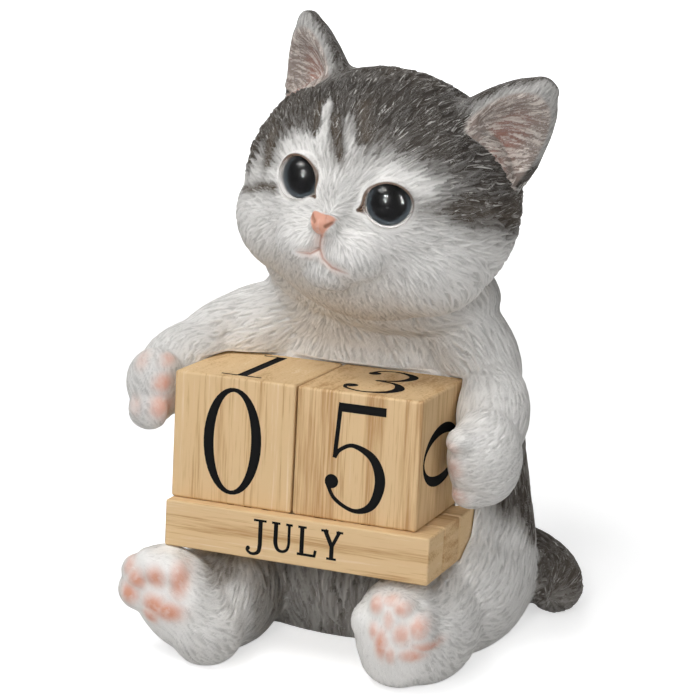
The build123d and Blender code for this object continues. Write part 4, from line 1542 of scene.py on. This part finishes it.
def eye_materials(side):
    """Glass, and the painted disc behind it: a wide black pupil in a slate iris with a pale rim, which is a
    painted reflection of the glass's edge, and painted shade of the lid over the top of the iris.
    """
    glass = Recipe("eye_glass")
    glass.set(Base_Color=(0.98, 0.99, 1.0), Transmission_Weight=1.0)
    glass.set(Roughness=GLASS_ROUGHNESS, IOR=GLASS_INDEX, Coat_Weight=GLOSS, Coat_Roughness=GLOSS_ROUGHNESS)
    glass.bump(glass.noise(160, detail=1.0), 0.00001, 0.1)
    disc = Recipe("eye_enamel")
    middle = eye_place(side) @ Matrix.Translation((0, PUPIL_UP, 0))
    flat = disc.vector("MULTIPLY", disc.in_frame(middle.to_translation(), middle.to_euler(), MM), (1, 1, 0))
    radius = disc.vector("LENGTH", flat)
    spokes = disc.noise(9, disc.vector("NORMALIZE", flat), detail=5.0, roughness=0.7)
    wavy = disc.plus(radius, disc.times(disc.math("SUBTRACT", spokes, 0.5), 0.35))
    black, slate = bpy.context.scene.kitten_paint.pupil, bpy.context.scene.kitten_paint.iris
    dim = tuple(0.3 * part for part in slate)
    pupil_edge, iris_edge = PUPIL_R / DISC_R, IRIS_R / DISC_R
    bands = [
        (0.0, black),
        (pupil_edge - 0.02, black),
        (pupil_edge + 0.03, dim),
        (0.71, slate),
        (iris_edge - 0.05, slate),
        (iris_edge - 0.01, dim),
        # a pale band round the iris: a painted reflection of the glass's edge
        (iris_edge + 0.02, shade(150, 150, 148)),
        (iris_edge + 0.05, shade(110, 100, 92)),
    ]
    colour = disc.ramp(disc.math("DIVIDE", wavy, DISC_R), bands)
    streaks = disc.line(spokes, 0.9, 0.55)
    streaks = disc.node("ShaderNodeCombineColor", {0: streaks, 1: streaks, 2: streaks}).outputs[0]
    colour = disc.mix(1.0, colour, streaks, "MULTIPLY")
    # the iris is painted darker towards its top: painted shade of the upper lid
    height = disc.node("ShaderNodeSeparateXYZ", {0: flat}).outputs["Y"]
    colour = disc.mix(disc.times(disc.smooth(height, -0.5, 3.5), 0.6), colour, dim, "MULTIPLY")
    disc.set(Base_Color=colour, Roughness=0.5, Specular_IOR_Level=0.0)
    disc.bump(spokes, 0.00005, 0.3)
    return glass.material, disc.material


class CALENDAR_OT_eyes(bpy.types.Operator):
    """The glass of the eyes and the painted discs behind it"""

    bl_idname = "calendar.eyes"
    bl_label = "Eyes"

    def execute(self, context):
        for side, name in zip(SIDES, ("right", "left")):
            glass, enamel = eye_materials(side)
            dress(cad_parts["eye_glass_" + name], glass)
            only()
            # the disc stands a little way into the glass, so that their faces don't lie in one plane
            bpy.ops.mesh.primitive_cylinder_add(vertices=96, radius=DISC_R, depth=DISC_THICK + DISC_SUNK)
            disc = new_piece("eye_disc_" + name)
            disc.data.transform(eye_place(side) @ placed((0, 0, EYE_CUT + (DISC_SUNK - DISC_THICK) / 2)))
            disc.data.transform(Matrix.Scale(MM, 4))
            dress(disc, enamel)
            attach(disc, "kitten")
            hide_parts("eye_backing_" + name)
        return {"FINISHED"}


class CALENDAR_OT_base(bpy.types.Operator):
    """The felt pad and the rubber plug of the underside"""

    bl_idname = "calendar.base"
    bl_label = "Base"

    def execute(self, context):
        felt = Recipe("base_felt")
        matted = felt.noise(700, detail=6.0, roughness=0.75)
        fibres = felt.ramp(matted, [(0.3, shade(34, 40, 38)), (0.7, shade(84, 92, 88))])
        felt.set(Base_Color=fibres, Roughness=0.95, Sheen_Weight=0.4, Sheen_Roughness=0.6)
        felt.bump(matted, 0.0004, 0.8)
        dress(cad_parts["base_felt"], felt.material)
        rubber = Recipe("plug_rubber")
        grain = rubber.noise(300, detail=4.0, roughness=0.6)
        mottle = rubber.ramp(grain, [(0.3, shade(196, 194, 188)), (0.7, shade(218, 216, 210))])
        rubber.set(Base_Color=mottle, Roughness=0.5)
        rubber.bump(grain, 0.00012, 0.5)
        dress(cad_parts["base_plug"], rubber.material)
        return {"FINISHED"}


# ---- paint -----------------------------------------------------------------------------------------------
def coat_material():
    """Matt paint on cast resin: white and charcoal fur with dry-brushed tips, salmon skin, brown lids; the
    grooves between white locks are painted darker, partly as a wash and partly as painted shade.
    """
    if "coat" in bpy.data.materials:
        return bpy.data.materials["coat"]
    paint = bpy.context.scene.kitten_paint
    recipe = Recipe("coat")
    relief, strand, fur = recipe.mask("relief"), recipe.mask("strand"), recipe.mask("fur")
    # single hairs run along each lock: position across and along it, and a different slice for every lock
    inputs = {"X": recipe.times(recipe.mask("across"), 2.0), "Z": recipe.times(strand, 60.0)}
    inputs["Y"] = recipe.times(recipe.mask("along"), 0.14)
    hairs_at = recipe.node("ShaderNodeCombineXYZ", inputs).outputs[0]
    hairs = recipe.noise(1.0, hairs_at, detail=3.0, roughness=0.6)
    uneven = recipe.line(strand, 0.3, -0.15)
    ridge = recipe.plus(relief, uneven)
    crest = recipe.smooth(ridge, 0.3, 0.95)
    thread = recipe.smooth(hairs, 0.40, 0.60)
    tips = recipe.plus(recipe.times(crest, 0.6), recipe.times(thread, 0.4))
    # white fur: white on the crests of the locks and darker between them, partly a wash and partly painted
    # shade
    white = recipe.mix(tips, paint.groove_wash_and_shade, paint.white)
    white = recipe.mix(recipe.times(recipe.mask("warm"), 0.35), white, (0.80, 0.70, 0.58), "MULTIPLY")
    broad = recipe.noise(60, detail=2.0)
    brown = recipe.line(broad, 0.5, recipe.times(recipe.mask("brown"), 0.7), clamp=True)
    deep = recipe.mix(brown, paint.charcoal, paint.umber)
    lit = recipe.times(recipe.smooth(ridge, 0.35, 0.95), recipe.smooth(hairs, 0.5, 0.64))
    dark = recipe.mix(lit, deep, paint.smoke)
    share = recipe.plus(recipe.mask("coat"), uneven)
    share = recipe.plus(share, recipe.line(hairs, 0.9, -0.45))
    colour = recipe.mix(recipe.line(share, 1.22, -0.07, clamp=True), white, dark)
    flecks = recipe.times(recipe.smooth(recipe.noise(420, detail=3.0), 0.45, 0.7), 0.3)
    flecks = recipe.line(recipe.times(thread, fur), 0.45, flecks)
    skin = recipe.mix(flecks, paint.salmon, paint.white)
    hollow = recipe.mask("hollow")
    inner = recipe.mix(recipe.smooth(hollow, 0.5, 1.0), shade(132, 120, 112), shade(140, 92, 78))
    down = recipe.plus(hairs, uneven)
    downy = recipe.mix(recipe.smooth(down, 0.45, 0.6), inner, shade(224, 216, 208))
    colour = recipe.mix(recipe.times(recipe.smooth(hollow, 0.0, 0.55), 0.85), colour, downy)
    colour = recipe.mix(recipe.mask("skin"), colour, skin)
    colour = recipe.mix(recipe.mask("line"), colour, shade(148, 98, 74))
    colour = recipe.mix(recipe.mask("lid"), colour, paint.lid)
    recipe.set(Base_Color=colour, Roughness=0.66, Specular_IOR_Level=0.09)
    recipe.bump(recipe.times(hairs, fur), 0.00032, 0.8)
    return recipe.material


# ---- stage -----------------------------------------------------------------------------------------------
CAMERA_AT, CAMERA_LENS, CAMERA_SENSOR = (187.96, -500.99, 248.69), 113.14, 36
CAMERA_AXES = [(0.9326, 0.3610, 0.0), (-0.1152, 0.2977, 0.9477), (0.3421, -0.8838, 0.3192)]
FLOOR_SIDE = 6
# each lamp: azimuth from the front and elevation in degrees, distance, width and height in mm, and radiance
LAMPS = {
    "key": (4.0, 30.0, 900.0, (180.0, 260.0), 14.5),
    "side": (72.0, 18.0, 1000.0, (240.0, 520.0), 3.0),
    "top": (-34.0, 62.0, 900.0, (460.0, 340.0), 9.6),
    "back": (200.0, 45.0, 1000.0, (500.0, 400.0), 2.4),
}
# bright oval panels for the catchlights of the eyes, which show only in reflections
CATCHLIGHTS = {
    "catchlight_middle": (4.0, 30.0, 900.0, (280.0, 480.0), 84.0),
    "catchlight_side": (74.0, 20.0, 900.0, (170.0, 560.0), 44.0),
    "catchlight_top": (-30.0, 62.0, 900.0, (520.0, 130.0), 34.0),
}


def lamp(name, azimuth, elevation, distance, size, radiance):
    """An area lamp that faces the kitten's head."""
    light = bpy.data.lights.new(name, "AREA")
    light.shape, light.size, light.size_y = "RECTANGLE", size[0] * MM, size[1] * MM
    light.energy = radiance * bpy.context.scene.kitten_stage.lamps * pi * light.size * light.size_y
    thing = bpy.data.objects.new(name, light)
    across, up = radians(azimuth), radians(elevation)
    toward = Vector((sin(across) * cos(up), -cos(across) * cos(up), sin(up)))
    thing.location = (HEAD.to_translation() + toward * distance) * MM
    thing.rotation_euler = toward.to_track_quat("Z", "Y").to_euler()
    bpy.context.collection.objects.link(thing)
    return thing


class CALENDAR_OT_stage(bpy.types.Operator):
    """Floor, lamps and camera"""

    bl_idname = "calendar.stage"
    bl_label = "Stage"

    def execute(self, context):
        room_light = context.scene.kitten_stage.sky
        camera = bpy.data.objects.new("camera", bpy.data.cameras.new("camera"))
        context.collection.objects.link(camera)
        turn = Matrix(np.array([unit(np.array(axis)) for axis in CAMERA_AXES]).T).to_4x4()
        camera.matrix_world = Matrix.Translation(Vector(CAMERA_AT) * MM) @ turn
        camera.data.lens = CAMERA_LENS
        camera.data.sensor_width = CAMERA_SENSOR
        camera.data.clip_start, camera.data.clip_end = 0.01, 20
        context.scene.camera = camera
        only()
        bpy.ops.mesh.primitive_grid_add(x_subdivisions=8, y_subdivisions=8, size=FLOOR_SIDE)
        floor = new_piece("floor")
        recipe = Recipe("pale_floor")
        from_middle = recipe.vector("LENGTH", recipe.place())
        glow = recipe.line(recipe.smooth(from_middle, 0.12, 0.55), 0.4, 0.6)
        recipe.set(Base_Color=(0.7, 0.7, 0.7), Roughness=0.9, Specular_IOR_Level=0.0)
        recipe.set(Emission_Color=(1, 1, 1), Emission_Strength=recipe.times(glow, recipe.seen()))
        dress(floor, recipe.material)
        for name, settings in LAMPS.items():
            lamp(name, *settings)
        for name, settings in CATCHLIGHTS.items():
            panel = lamp(name, *settings)
            panel.visible_diffuse = panel.visible_transmission = False
            panel.data.shape = "ELLIPSE"
        world = bpy.data.worlds.new("studio")
        context.scene.world = world
        world.use_nodes = True
        sky = Nodes(world.node_tree)
        strength = sky.line(sky.seen(), 1.0 - room_light, room_light)
        shown = sky.node("ShaderNodeBackground", {"Color": (1, 1, 1), "Strength": strength})
        sky.node("ShaderNodeOutputWorld", {"Surface": shown.outputs[0]})
        context.scene.view_settings.view_transform = "Standard"
        return {"FINISHED"}


class CALENDAR_PT_pieces(bpy.types.Panel):
    """Makes the calendar's pieces one by one"""

    bl_label = "Kitten Desk Calendar"
    bl_idname = "CALENDAR_PT_pieces"
    bl_space_type = "VIEW_3D"
    bl_region_type = "UI"
    bl_category = "Calendar"

    def draw(self, context):
        for kind in CLASSES:
            if issubclass(kind, bpy.types.Operator):
                self.layout.operator(kind.bl_idname)


CLASSES = (
    KittenPaint,
    KittenWood,
    KittenStage,
    CALENDAR_OT_head,
    CALENDAR_OT_body,
    CALENDAR_OT_eyes,
    CALENDAR_OT_cubes,
    CALENDAR_OT_bars,
    CALENDAR_OT_base,
    CALENDAR_OT_stage,
    CALENDAR_PT_pieces,
)
SETTINGS = {"kitten_paint": KittenPaint, "kitten_wood": KittenWood, "kitten_stage": KittenStage}


def register():
    for kind in CLASSES:
        bpy.utils.register_class(kind)
    for name, group in SETTINGS.items():
        setattr(bpy.types.Scene, name, PointerProperty(type=group))


def unregister():
    for name in SETTINGS:
        delattr(bpy.types.Scene, name)
    for kind in reversed(CLASSES):
        bpy.utils.unregister_class(kind)


def main():
    register()
    for name in ("head", "body", "eyes", "cubes", "bars", "base", "stage"):
        getattr(bpy.ops.calendar, name)()


if __name__ == "__main__":
    main()
